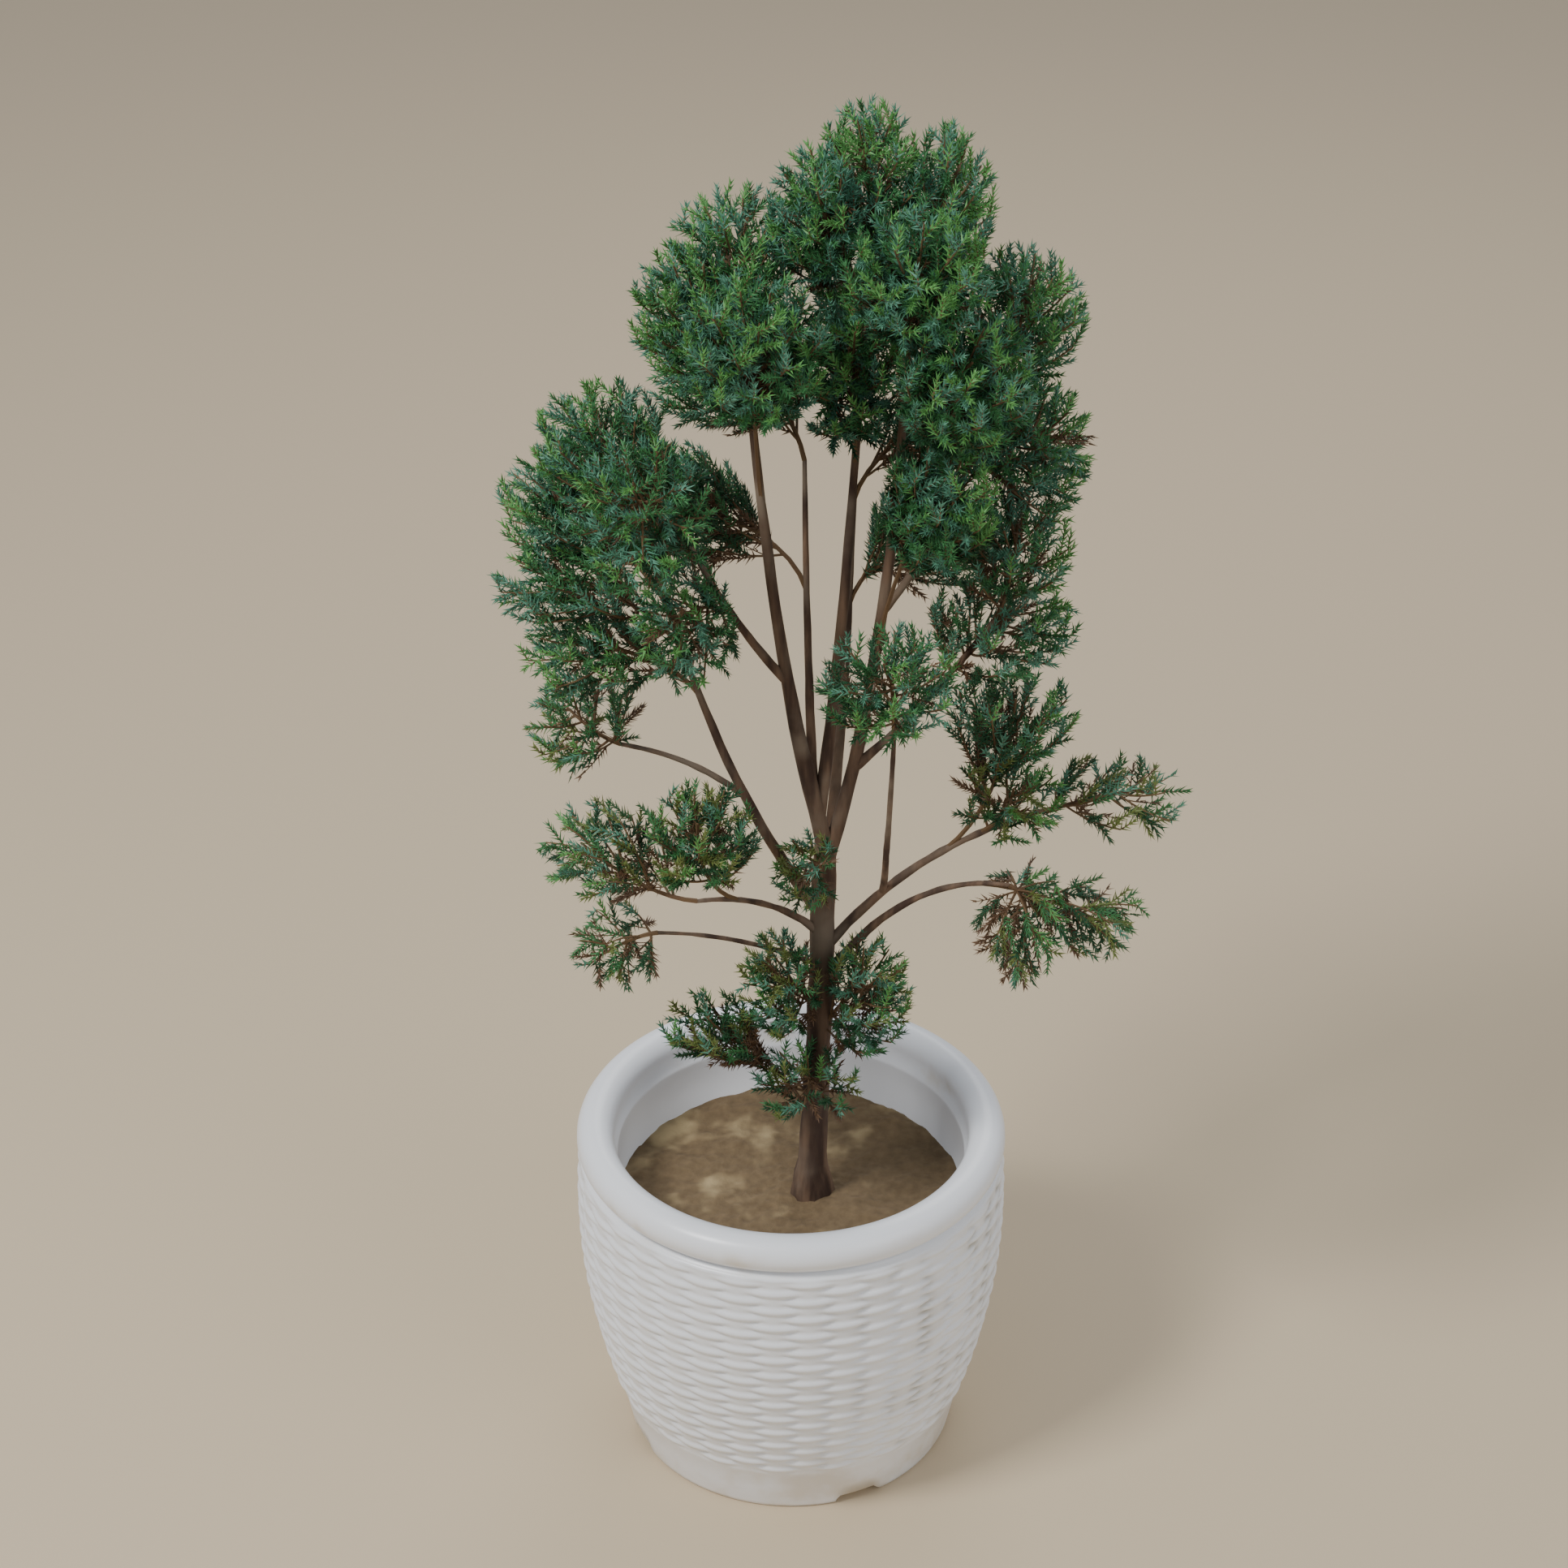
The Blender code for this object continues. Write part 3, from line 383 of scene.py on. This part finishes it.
print("noise of", RIPPLE_WAVES, "waves")

# %% [markdown]
# The bark is red-brown with fibres that run up the stem, and dusty grey-brown in patches. A
# picture wrapped round each limb could show this, but it would have a seam. Noise drawn out along
# Z gives the fibres, a larger noise gives the dust, and the fibres also raise a small bump. Trunk
# and limbs share one mesh, because they share one bark.

# %% Bark
DARK_BARK, RED_BARK, DUSTY_BARK = (0.045, 0.022, 0.013), (0.19, 0.115, 0.07), (0.20, 0.15, 0.105)
TRUNK_SIDES, LIMB_SIDES = 22, 12
BARK_RELIEF = 0.10  # how far the bark leaves its tube, as a share of the radius

bark = Graph("bark", 0.86)
fibre = bark.noise(95.0, 5.0, (1.0, 1.0, 0.14))
patch = bark.noise(22.0)
bark_colour = bark.mix(fibre.between(0.35, 0.7), DARK_BARK, RED_BARK)
bark_colour = bark.mix(patch.between(0.45, 0.75), bark_colour, DUSTY_BARK)
bark_material = bark.finish(bark_colour, fibre, 0.0012)
wood = []
for name, (points, radii) in paths.items():
    wood.append(tube(points, radii, TRUNK_SIDES if name == "trunk" else LIMB_SIDES, BARK_RELIEF))
limbs = mesh_object("bark_limbs", wood, bark_material, smooth=True)
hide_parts(*paths)
print("bark faces", len(limbs.data.polygons))

# %% [markdown]
# In a crown neighbours meet and mingle a little, but don't grow through each other. Crossing
# twigs could be deleted afterwards, but that leaves cut ends. So a plane stands between every two
# masses, placed by how far each reaches towards the other, and tips well past it are drawn back.

# %% The space of a mass
Cell = namedtuple("Cell", "centre radii spots normals")
PAST_WALL = 1.12  # twigs of neighbours mingle this far, as a share of the way to the wall
NO_WALL = 9.0


def cell_of(mass):
    centre, radii = np.array(mass.centre, float), np.array(mass.radii, float)
    spots, normals = [], []
    for other in MASSES:
        if other is not mass:
            way = np.array(other.centre, float) - centre
            normal = unit(way)
            own, theirs = np.linalg.norm(radii * normal), np.linalg.norm(np.array(other.radii) * normal)
            spots.append(way * own / (own + theirs))
            normals.append(normal)
    return Cell(centre, radii, np.array(spots), np.array(normals))


def pulled_in(points, cell, reach):
    """Points outside the mass's cell are drawn towards its centre until they are inside."""
    away = points - cell.centre
    rounded = np.linalg.norm(away / cell.radii, axis=1)
    limit = reach / np.maximum(rounded, 1e-9)
    towards = away @ cell.normals.T
    wall_depths = np.einsum("mk,mk->m", cell.spots, cell.normals)[None]
    walls = np.where(towards > 1e-6, wall_depths / np.maximum(towards, 1e-6), NO_WALL)
    return cell.centre + away * np.minimum(1.0, np.minimum(limit, walls.min(axis=1) * PAST_WALL))[:, None]


cells = {mass.name: cell_of(mass) for mass in MASSES}
print("walls round each mass", len(cells["crown_top"].normals))

# %% [markdown]
# The needles are fresh green at the tips, blue-green on their faces, darker where they are old,
# brown where they have died inside, and yellow-green low down. Sunlight and shade are painted in
# as well: shoots far out and high get a lighter green as painted sunlight, and shoots deep inside a
# dark green as painted shade. A noise could mix these on one mesh, but it would cross from shoot
# to shoot. So each shoot is dealt one plain colour. How far out and how high it stands decides,
# with some chance.

# %% The colour of a shoot
GREENS = {
    # fresh green of the tips, made lighter as painted sunlight
    "needles_fresh_and_painted_sunlit": (0.105, 0.300, 0.075),
    "needles_blue": (0.085, 0.235, 0.150),
    "needles_mid": (0.050, 0.185, 0.060),
    # green of old needles, made darker as painted shade
    "needles_old_and_painted_shade": (0.022, 0.090, 0.035),
    "needles_olive": (0.155, 0.200, 0.050),
    "needles_dead": (0.130, 0.070, 0.035),
}
CROWN_AXIS = (20, 10)
UPWARD = 70.0  # light comes from outside and, by this much, from above
MIDDLE_Z, UPPER_RISE = 560, 350
OUT_WEIGHT, HIGH_WEIGHT, INNER_WEIGHT, LIGHT_SPREAD = 0.55, 0.25, 0.5, 0.22
# score limits for the dead brown, the painted-shade green and the painted-sunlight green
DEAD_BELOW, PAINTED_SHADE_BELOW, PAINTED_SUNLIGHT_ABOVE = -0.62, -0.18, 0.42
INNER_SHOOT = 0.75
DEAD_CHANCE, BRIGHT_CHANCE, OLIVE_CHANCE, MID_CHANCE = 0.55, 0.62, 0.35, 0.6


def colour_of(tip, inner, cell):
    outward = unit(np.array((tip[0] - CROWN_AXIS[0], tip[1] - CROWN_AXIS[1], UPWARD)))
    out = float(((tip - cell.centre) / cell.radii) @ outward)
    high = HIGH_WEIGHT * (tip[2] - MIDDLE_Z) / UPPER_RISE
    # this score paints sunlight and shade into the colour: far out towards the light and high up is
    # lighter, inside is darker
    light = OUT_WEIGHT * out + high - INNER_WEIGHT * inner + rng.normal(0, LIGHT_SPREAD)
    if light < DEAD_BELOW or (inner > INNER_SHOOT and rng.random() < DEAD_CHANCE):
        return "needles_dead"
    # a low score gives the dark green of old needles and painted shade
    if light < PAINTED_SHADE_BELOW:
        return "needles_old_and_painted_shade"
    # a high score gives the fresh green lightened as painted sunlight, or blue-green
    if light > PAINTED_SUNLIGHT_ABOVE:
        return "needles_fresh_and_painted_sunlit" if rng.random() < BRIGHT_CHANCE else "needles_blue"
    if tip[2] < MIDDLE_Z and rng.random() < OLIVE_CHANCE:
        return "needles_olive"
    return "needles_mid" if rng.random() < MID_CHANCE else "needles_blue"


print("needle colours", list(GREENS))

# %% [markdown]
# A real needle is an awl, six to eight millimetres long and about one wide. It could be a cone,
# but four triangles are enough at this size. A shoot carries its needles in whorls of three. Each
# whorl is turned by a sixth of a turn, so it stands over the gaps of the last, and towards the tip
# the needles lean forward more and grow shorter.

# %% A shoot with its needles
WHORL = 3
WHORL_TURN, WHORL_TWIST = 2.0944, 1.05  # a third of a turn, and what each whorl adds
WHORL_PITCH, WHORLS_LEAST, FIRST_WHORL = 2.3, 4, 0.08
LEAN_AT_ROOT, LEAN_LOSS, LEAN_SPREAD = 58, 30, 0.10
NEEDLE_LENGTH, NEEDLE_WIDTH = (5.6, 8.2), (1.1, 1.5)
TIP_SHORTENING = 0.28
KEPT_INSIDE = 0.45  # old shoots inside the plant have lost the rest of their needles
SHOOT_RADII, SHOOT_SAG, SHOOT_STEPS, SHOOT_SIDES = (0.55, 0.28), 0.06, 3, 3
SHOOT_HELPER = (0.3, 0.2, 0.9)  # any direction that no shoot follows
needle_sprays = {name: [] for name in GREENS}
twigs = []


def needles(base, direction, length, width):
    side = unit(np.cross(direction, rng.normal(size=base.shape)))
    third = np.cross(direction, side)
    half = width[:, None] / 2
    corners = [base + side * half, base - side * half + third * half, base - third * half]
    verts = np.stack(corners + [base + direction * length[:, None]], 1).reshape(-1, 3)
    faces = np.array([(0, 1, 3), (1, 2, 3), (2, 0, 3), (0, 2, 1)])
    return verts, (np.arange(len(base))[:, None, None] * 4 + faces[None]).reshape(-1, 3)


def needle_directions(along, whorls, t):
    across = unit(np.cross(along, SHOOT_HELPER))
    beside = np.cross(along, across)
    twist = np.repeat(np.arange(whorls), WHORL) * WHORL_TWIST
    turn = np.arange(len(t)) * WHORL_TURN + twist + rng.uniform(0, ANY_TURN)
    lean = np.radians(LEAN_AT_ROOT - LEAN_LOSS * t) + rng.normal(0, LEAN_SPREAD, len(t))
    radial = across * np.cos(turn)[:, None] + beside * np.sin(turn)[:, None]
    return unit(along * np.cos(lean)[:, None] + radial * np.sin(lean)[:, None])


def grow_shoot(root, tip, inner, cell):
    length = np.linalg.norm(tip - root)
    line = bezier(root, (root + tip) / 2 + (0, 0, -SHOOT_SAG * length), tip, SHOOT_STEPS)
    twigs.append(tube(line, np.linspace(*SHOOT_RADII, SHOOT_STEPS + 1), SHOOT_SIDES))
    whorls = max(WHORLS_LEAST, int(length / WHORL_PITCH))
    t = np.repeat(np.linspace(FIRST_WHORL, 1.0, whorls), WHORL)
    base = root + (tip - root) * t[:, None]
    direction = needle_directions(unit(tip - root), whorls, t)
    size = rng.uniform(*NEEDLE_LENGTH, len(t)) * (1.0 - TIP_SHORTENING * t ** 3)
    keep = rng.random(len(t)) < (KEPT_INSIDE if inner > INNER_SHOOT else 1.0)
    if keep.any():
        spray = needle_sprays[colour_of(tip, inner, cell)]
        width = rng.uniform(*NEEDLE_WIDTH, keep.sum())
        spray.append(needles(base[keep], direction[keep], size[keep], width))


print("a shoot of 23 mm has", WHORL * int(23 / WHORL_PITCH), "needles")

# %% [markdown]
# In a mass one stem leaves the limb and ends past the centre. Twigs leave the stem and head for
# places on the mass's surface. Places drawn at random would bunch, and the golden turn spreads
# them evenly. Drooping masses do the same downwards.

# %% Stems and where their twigs go
AXIS_LIFT = 0.45  # masses grow upwards by this much, drooping ones downwards
STEM_REACH, STEM_CARRY, STEM_BEND = 0.42, 0.3, 0.12
STEM_RADII, STEM_STEPS, STEM_SIDES = (1.7, 0.9), 8, 5
GOLDEN_TURN = 2.39996
TWIG_AREA, TWIGS_LEAST, TWIGS_MOST = 240.0, 9, 26
SPREAD_BACK = 1.55  # from straight ahead to well behind, as a difference of cosines
TWIG_REACH = 0.90
AXIS_HELPER = (0.31, 0.87, 0.12)  # any direction that no mass follows


def stem_of(mass, cell, sign):
    """The stem's line and the direction in which the mass grows."""
    root, along = place_on(paths[mass.limb][0], mass.share)
    axis = unit(unit((cell.centre - root) / cell.radii) + (0, 0, AXIS_LIFT * sign))
    end = cell.centre + cell.radii * axis * STEM_REACH
    handle = root + along * STEM_CARRY * np.linalg.norm(end - root) + (end - root) * STEM_BEND
    return bezier(root, handle, end, STEM_STEPS), axis


def twig_targets(mass, cell, axis):
    broad = math.pi * math.sqrt(mass.radii[0] * mass.radii[1]) * mass.radii[2]
    count = int(np.clip(broad / TWIG_AREA, TWIGS_LEAST, TWIGS_MOST))
    k = np.arange(count)
    cosine = 1.0 - SPREAD_BACK * (k + 0.5) / count
    turn = k * GOLDEN_TURN + rng.uniform(0, ANY_TURN)
    across = unit(np.cross(axis, AXIS_HELPER))
    beside = np.cross(axis, across)
    sideways = across * np.cos(turn)[:, None] + beside * np.sin(turn)[:, None]
    ways = axis * cosine[:, None] + sideways * np.sqrt(1 - cosine ** 2)[:, None]
    return pulled_in(cell.centre + ways * cell.radii, cell, TWIG_REACH)


print("twigs in a mass", TWIGS_LEAST, "to", TWIGS_MOST)

# %% [markdown]
# Shoots leave a twig all round it and turn upwards, or downwards in a drooping mass. They are
# shorter towards the twig's tip, and the last one goes straight on. One shoot could be modelled
# and copied, but copies show. With stems, twigs and shoots as functions, each is its own, and the
# whole plant is one loop.

# %% Grow the masses
LEAVING_LEAD, LEAVING_FIRST, LEAVING_LAST = 0.40, 0.12, 0.97
TWIG_RADII, TWIG_SAG, TWIG_STEPS, TWIG_SIDES = (0.95, 0.5), 0.13, 7, 4
SHOOT_PITCH, SHOOTS_LEAST, FIRST_SHOOT = 5.6, 5, 0.18
SHOOT_FORWARD, SHOOT_SIDEWAYS, LAST_SIDEWAYS, SHOOT_LIFT = 0.85, 0.75, 0.1, 0.28
SHOOT_LENGTH, SHOOT_SHORTEST = (17, 34), 7.0
LENGTH_AT_ROOT, LENGTH_LOSS = 1.05, 0.35
LAST_SHOOT = 0.99  # only the shoot at the twig's very tip stands past this share


def grow_twig(twig, cell, sign, reach):
    twigs.append(tube(twig, np.linspace(*TWIG_RADII, TWIG_STEPS + 1), TWIG_SIDES))
    for t in np.linspace(FIRST_SHOOT, 1.0, max(SHOOTS_LEAST, int(reach / SHOOT_PITCH))):
        base, heading = place_on(twig, t)
        spread = unit(np.cross(heading, rng.normal(size=3)))
        sideways = SHOOT_SIDEWAYS if t < LAST_SHOOT else LAST_SIDEWAYS
        way = unit(heading * SHOOT_FORWARD + spread * sideways + (0, 0, SHOOT_LIFT * sign))
        size = rng.uniform(*SHOOT_LENGTH) * (LENGTH_AT_ROOT - LENGTH_LOSS * t)
        tip = pulled_in((base + way * size)[None], cell, 1.0)[0]
        if np.linalg.norm(tip - base) > SHOOT_SHORTEST:
            grow_shoot(base, tip, 1.0 - t, cell)


for mass in MASSES:
    cell = cells[mass.name]
    sign = -1.0 if mass.name in DROOPING else 1.0
    stem, axis = stem_of(mass, cell, sign)
    twigs.append(tube(stem, np.linspace(*STEM_RADII, STEM_STEPS + 1), STEM_SIDES))
    chord = stem[-1] - stem[0]
    for target in twig_targets(mass, cell, axis):
        share = (target - stem[0]) @ chord / (chord @ chord) - LEAVING_LEAD
        start, _ = place_on(stem, np.clip(share, LEAVING_FIRST, LEAVING_LAST))
        reach = np.linalg.norm(target - start)
        handle = (start + target) / 2 + (0, 0, -TWIG_SAG * sign * reach)
        grow_twig(bezier(start, handle, target, TWIG_STEPS), cell, sign, reach)
print("shoots", sum(len(sprays) for sprays in needle_sprays.values()), "twig tubes", len(twigs))

# %% [markdown]
# Thousands of shoots would be slow as objects of their own, so they are joined by colour. A
# thousand shoots a piece keeps every piece well under two hundred thousand triangles.

# %% Join the needles
SPRAYS_A_PIECE = 1000

for name, colour in GREENS.items():
    graph = Graph(name, 0.55, colour)
    for first in range(0, len(needle_sprays[name]), SPRAYS_A_PIECE):
        sprays = needle_sprays[name][first:first + SPRAYS_A_PIECE]
        piece = mesh_object(f"{name}_{first // SPRAYS_A_PIECE}", sprays, graph.material)
        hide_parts(*mass_names)
        print(piece.name, len(piece.data.polygons))

# %% [markdown]
# Stems, twigs and shoots are young wood, red-brown to yellow-brown. Each age could have its own
# finish, but they are too thin for that to show. So they share one mesh and one noise that fades
# from the one brown to the other.

# %% Join the twigs
RED_TWIG, YELLOW_TWIG = (0.09, 0.04, 0.02), (0.20, 0.125, 0.05)

twig_graph = Graph("twig_bark", 0.8)
twig_tone = twig_graph.noise(40.0)
twig_material = twig_graph.finish(twig_graph.mix(twig_tone, RED_TWIG, YELLOW_TWIG))
twig_piece = mesh_object("twigs", twigs, twig_material)
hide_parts(*mass_names)
print("twig faces", len(twig_piece.data.polygons))

# %% [markdown]
# The pot is round: a rolled rim, a plain neck, a woven belly and a plain foot. A modifier could
# turn a profile about its axis, but the weave has to move each point by itself. So the profile is
# an array. It starts inside, below the soil, and ends at the middle of the underside, and the
# belly gets many rings, because the weave is raised on them.

# %% The pot's profile
WEAVE_TOP, WEAVE_BOTTOM = 223.0, 39.0
COLUMNS, PER_COLUMN, ROWS, PER_ROW = 38, 6, 26, 6
BELLY_R, BELLY_Z, FOOT_TOP_R, FOOT_R = 144.8, 187.0, 121.5, 113.5
RIM_R, RIM_Z, RIM_TUBE_R = 132.6, 238.3, 12.4
RIM_ARC, RIM_POINTS = (185, -78), 19
NECK = (141.8, 224.4)
INSIDE = [(95, 150), (116.2, 150), (118.2, 219), (117.6, 222.4), (117.9, 225), (120, 227.5)]
FOOT = [(120.9, 36.6), (119.6, 34.0), (116.7, 19.5), (FOOT_R, 4.0), (112.4, 1.2), (110, 0), (0.01, 0)]

belly_z = np.linspace(WEAVE_TOP, WEAVE_BOTTOM, ROWS * PER_ROW + 1)
belly_fall = (BELLY_R - FOOT_TOP_R) / (BELLY_Z - WEAVE_BOTTOM) ** 2
belly_r = BELLY_R - belly_fall * (belly_z - BELLY_Z) ** 2
arc = np.radians(np.linspace(*RIM_ARC, RIM_POINTS))
rim = np.stack([RIM_R + RIM_TUBE_R * np.cos(arc), RIM_Z + RIM_TUBE_R * np.sin(arc)], 1)
profile = np.vstack([INSIDE, rim, [NECK], np.stack([belly_r, belly_z], 1), FOOT])
first_belly = len(INSIDE) + len(rim) + 1
print("profile of", len(profile), "points, the belly from number", first_belly)

# %% [markdown]
# On a woven pot flat strands pass over every second stake, and the next row over the others.
# Seen from the front each strand is a lens: wide and high where it is over, thin where it is
# under. Stakes are posts that show between. A bump could fake this, but not at the outline.

# %% The weave
STRAND_HEIGHT, STRAND_ROUNDING = 3.3, 0.6
STRAND_THIN, STRAND_WIDEN = 0.42, 0.56
STAKE_HEIGHT, STAKE_HALF_WIDTH = 1.7, 0.36
SINK = 1.9  # the hollows lie this far behind the mean belly
HOLLOW_DEPTH = 2.0
FADE = 3.0

sectors = COLUMNS * PER_COLUMN
angle = np.arange(sectors) * FULL_TURN / sectors
column = angle[None] / (FULL_TURN / COLUMNS)
row = (WEAVE_TOP - belly_z[:, None]) / ((WEAVE_TOP - WEAVE_BOTTOM) / ROWS)
whole = np.clip(np.floor(row), 0, ROWS - 1)
across_strand = 2 * (row - whole) - 1
over = 0.5 - 0.5 * np.cos(math.pi * (column + whole))
lens = np.sqrt(np.clip(1 - (across_strand / (STRAND_THIN + STRAND_WIDEN * over)) ** 2, 0, 1))
strand = STRAND_HEIGHT * over ** STRAND_ROUNDING * lens
from_stake = np.abs(column - np.round(column))
stake = STAKE_HEIGHT * np.sqrt(np.clip(1 - (from_stake / STAKE_HALF_WIDTH) ** 2, 0, 1)) + 0 * row
relief = np.maximum(strand, stake)
fade = np.clip(np.minimum(WEAVE_TOP - belly_z, belly_z - WEAVE_BOTTOM) / FADE, 0, 1)[:, None]
print("relief from", relief.min(), "to", relief.max(), "mm")

# %% [markdown]
# The rings take the relief. The real foot also has drain notches. A Boolean could cut them, but
# lifting the points there leaves the mesh whole. What lies deep in the weave is noted in an array
# as well, so that the finish can darken it to olive-brown on the side towards +X.

# %% The pot's points
NOTCH_AZIMUTH, NOTCH_SPACING = math.radians(-66.0), math.pi / 2
NOTCH_HEIGHT, NOTCH_HALF_WIDTH, NOTCH_SLOPE = 7.0, 17.0, 4.0
NOTCH_INNER_R, NOTCH_TOP = 106.0, 20.0

radius, height = profile[:, :1] + 0 * angle, profile[:, 1:] + 0 * angle
hollow = np.zeros_like(radius)
belly = slice(first_belly, first_belly + len(belly_z))
radius[belly] += (relief - SINK) * fade
hollow[belly] = np.clip(1 - relief / HOLLOW_DEPTH, 0, 1) * fade
turned = (angle - NOTCH_AZIMUTH + NOTCH_SPACING / 2) % NOTCH_SPACING - NOTCH_SPACING / 2
from_notch = np.abs(turned[None] * FOOT_R)
lifted = NOTCH_HEIGHT * np.clip((NOTCH_HALF_WIDTH - from_notch) / NOTCH_SLOPE, 0, 1)
lifted = lifted * (radius > NOTCH_INNER_R)
height = np.where(height < NOTCH_TOP, np.maximum(height, lifted), height)
spin = np.stack([radius * np.cos(angle), radius * np.sin(angle), height], -1).reshape(-1, 3)
print("pot points", len(spin))

# %% [markdown]
# The plastic is bright white and a little glossy. The weave's gaps towards +X are darkened to
# olive-brown, and ochre dust lies low on the foot and on the rim's lower side. These marks could be
# painted by hand, but masks follow the weave by themselves: the hollows or a band of height,
# times a blotchy noise.

# %% The pot's finish
WHITE, HOLLOW_OLIVE, DUST = (0.86, 0.87, 0.885), (0.25, 0.20, 0.09), (0.62, 0.52, 0.36)

glaze = Graph("woven_plastic", 0.30)
deep = glaze.node("ShaderNodeAttribute", {"attribute_name": "hollow"}, {}, "Fac")
right = glaze.node("ShaderNodeSeparateXYZ", {}, {0: glaze.place()}, 0)
high = glaze.node("ShaderNodeSeparateXYZ", {}, {0: glaze.place()}, 2)
blotch = glaze.noise(26.0)
# olive-brown darkening in the weave's hollows, only on the side towards +X
right_hollow_darkening = deep * right.between(-0.02, 0.13) * blotch.between(0.40, 0.62)
foot_dust = (1.0 - high.between(0.015, 0.075)) * blotch.between(0.42, 0.70) * 0.55
rim_band = high.between(0.222, 0.23) * (1.0 - high.between(0.236, 0.247))
rim_dust = rim_band * blotch.between(0.52, 0.72) * 0.5
pot_colour = glaze.mix(right_hollow_darkening * 0.85, WHITE, HOLLOW_OLIVE)
pot_colour = glaze.mix(foot_dust + rim_dust, pot_colour, DUST)
pot_material = glaze.finish(pot_colour)
print("pot material with", len(glaze.nodes), "nodes")

# %% [markdown]
# The points become the pot, and the array of hollows becomes an attribute of its points, which
# the finish reads by name.

# %% The pot
pot = mesh_object("woven_pot", [(spin, ring_quads(len(profile), sectors))], pot_material, smooth=True)
marks = pot.data.attributes.new("hollow", "FLOAT", "POINT")
marks.data.foreach_set("value", hollow.ravel().astype(np.float32))
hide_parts("pot")
print("pot faces", len(pot.data.polygons))

# %% [markdown]
# The soil is clay that has cracked into clods. It could be sculpted, but rings of points round
# the pot's axis end exactly at the wall, and three sizes of noise raise them, from broad swells
# to crumbs. Its finish mixes damp browns by a fine grain, and lays dry, paler patches over them.

# %% The soil
SOIL_RINGS, SOIL_SECTORS = 70, 200
SOIL_MIDDLE_R, SOIL_R, SOIL_Z = 0.2, 118.2, 186.2
CLODS = ((2.0, 70.0, 1), (1.3, 26.0, 2), (0.7, 9.0, 3))  # height, size and seed of each noise
CLOD_SCALE = 0.8
DAMP_DARK, DAMP_LIGHT, DRY = (0.085, 0.055, 0.026), (0.24, 0.165, 0.085), (0.42, 0.32, 0.17)

turns = np.arange(SOIL_SECTORS) * FULL_TURN / SOIL_SECTORS
far, turn = np.meshgrid(np.linspace(SOIL_MIDDLE_R, SOIL_R, SOIL_RINGS), turns, indexing="ij")
ground = np.stack([far * np.cos(turn), far * np.sin(turn), 0 * far], -1).reshape(-1, 3)
clods = sum(rise * ripple(ground, size, seed) for rise, size, seed in CLODS)
ground[:, 2] = SOIL_Z + clods * CLOD_SCALE
earth = Graph("soil", 0.93)
grain, patches = earth.noise(160.0, 6.0), earth.noise(24.0)
earth_colour = earth.mix(grain, DAMP_DARK, DAMP_LIGHT)
earth_colour = earth.mix(patches.between(0.52, 0.72), earth_colour, DRY)
soil_material = earth.finish(earth_colour, grain, 0.0015)
soil_faces = ring_quads(SOIL_RINGS, SOIL_SECTORS)
soil = mesh_object("soil_top", [(ground, soil_faces)], soil_material, smooth=True)
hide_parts("soil")
print("soil faces", len(soil.data.polygons))

# %% [markdown]
# The plant stands outdoors under a soft sun. A sky picture could light it, but lamps need no
# file and are easy to move. A key lamp high on the left gives the shadow, and a fill, a back lamp
# and a pale sky soften it. Each lamp is turned to look at the plant, which stands on a plain floor.

# %% Floor and light
LOOK_AT = (0.03, 0.0, 0.5)
LAMPS = (
    ("key", (-1.5, -1.1, 2.6), 0.7, 62.0),
    ("fill", (1.8, -1.6, 1.6), 1.6, 14.0),
    ("back", (0.4, 2.0, 2.2), 1.4, 16.0),
)
SKY, SKY_STRENGTH = (0.86, 0.91, 1.0, 1.0), 0.55


def add_lamp(name, where, size, power):
    lamp = bpy.data.lights.new(name, "AREA")
    lamp.energy, lamp.size = power, size
    light = bpy.data.objects.new(name, lamp)
    light.location = where
    away = np.array(where) - LOOK_AT
    tilt = math.atan2(math.hypot(away[0], away[1]), away[2])
    light.rotation_euler = (tilt, 0.0, math.atan2(away[1], away[0]) + math.pi / 2)
    bpy.context.scene.collection.objects.link(light)


bpy.ops.mesh.primitive_plane_add(size=9.0, location=(0.0, 1.0, 0.0))
floor = bpy.context.active_object
floor.name = "floor"
floor.data.materials.append(Graph("floor", 0.9, (0.62, 0.50, 0.34)).material)
for name, where, size, power in LAMPS:
    add_lamp(name, where, size, power)
world = bpy.data.worlds.new("sky")
world.use_nodes = True
background = world.node_tree.nodes["Background"]
background.inputs["Color"].default_value = SKY
background.inputs["Strength"].default_value = SKY_STRENGTH
bpy.context.scene.world = world
print("lamps", len(LAMPS))

# %% [markdown]
# The camera looks down at the plant from about two metres. Its height, its tilt and its lens
# were worked out from how the pot's rim and foot look in the photograph, where each circle is an
# ellipse. They could be set by eye, but then the two views would not lie on each other.

# %% Camera
CAMERA_PLACE = (-0.00472, -1.82170, 1.60372)
LOOKING_DOWN = 30.96
SENSOR, LENS = 36.0, 76.7

camera_data = bpy.data.cameras.new("camera")
camera_data.sensor_width, camera_data.lens = SENSOR, LENS
camera = bpy.data.objects.new("camera", camera_data)
camera.location = CAMERA_PLACE
camera.rotation_euler = (math.radians(90.0 - LOOKING_DOWN), 0.0, 0.0)
bpy.context.scene.collection.objects.link(camera)
bpy.context.scene.camera = camera
print("camera at", CAMERA_PLACE)
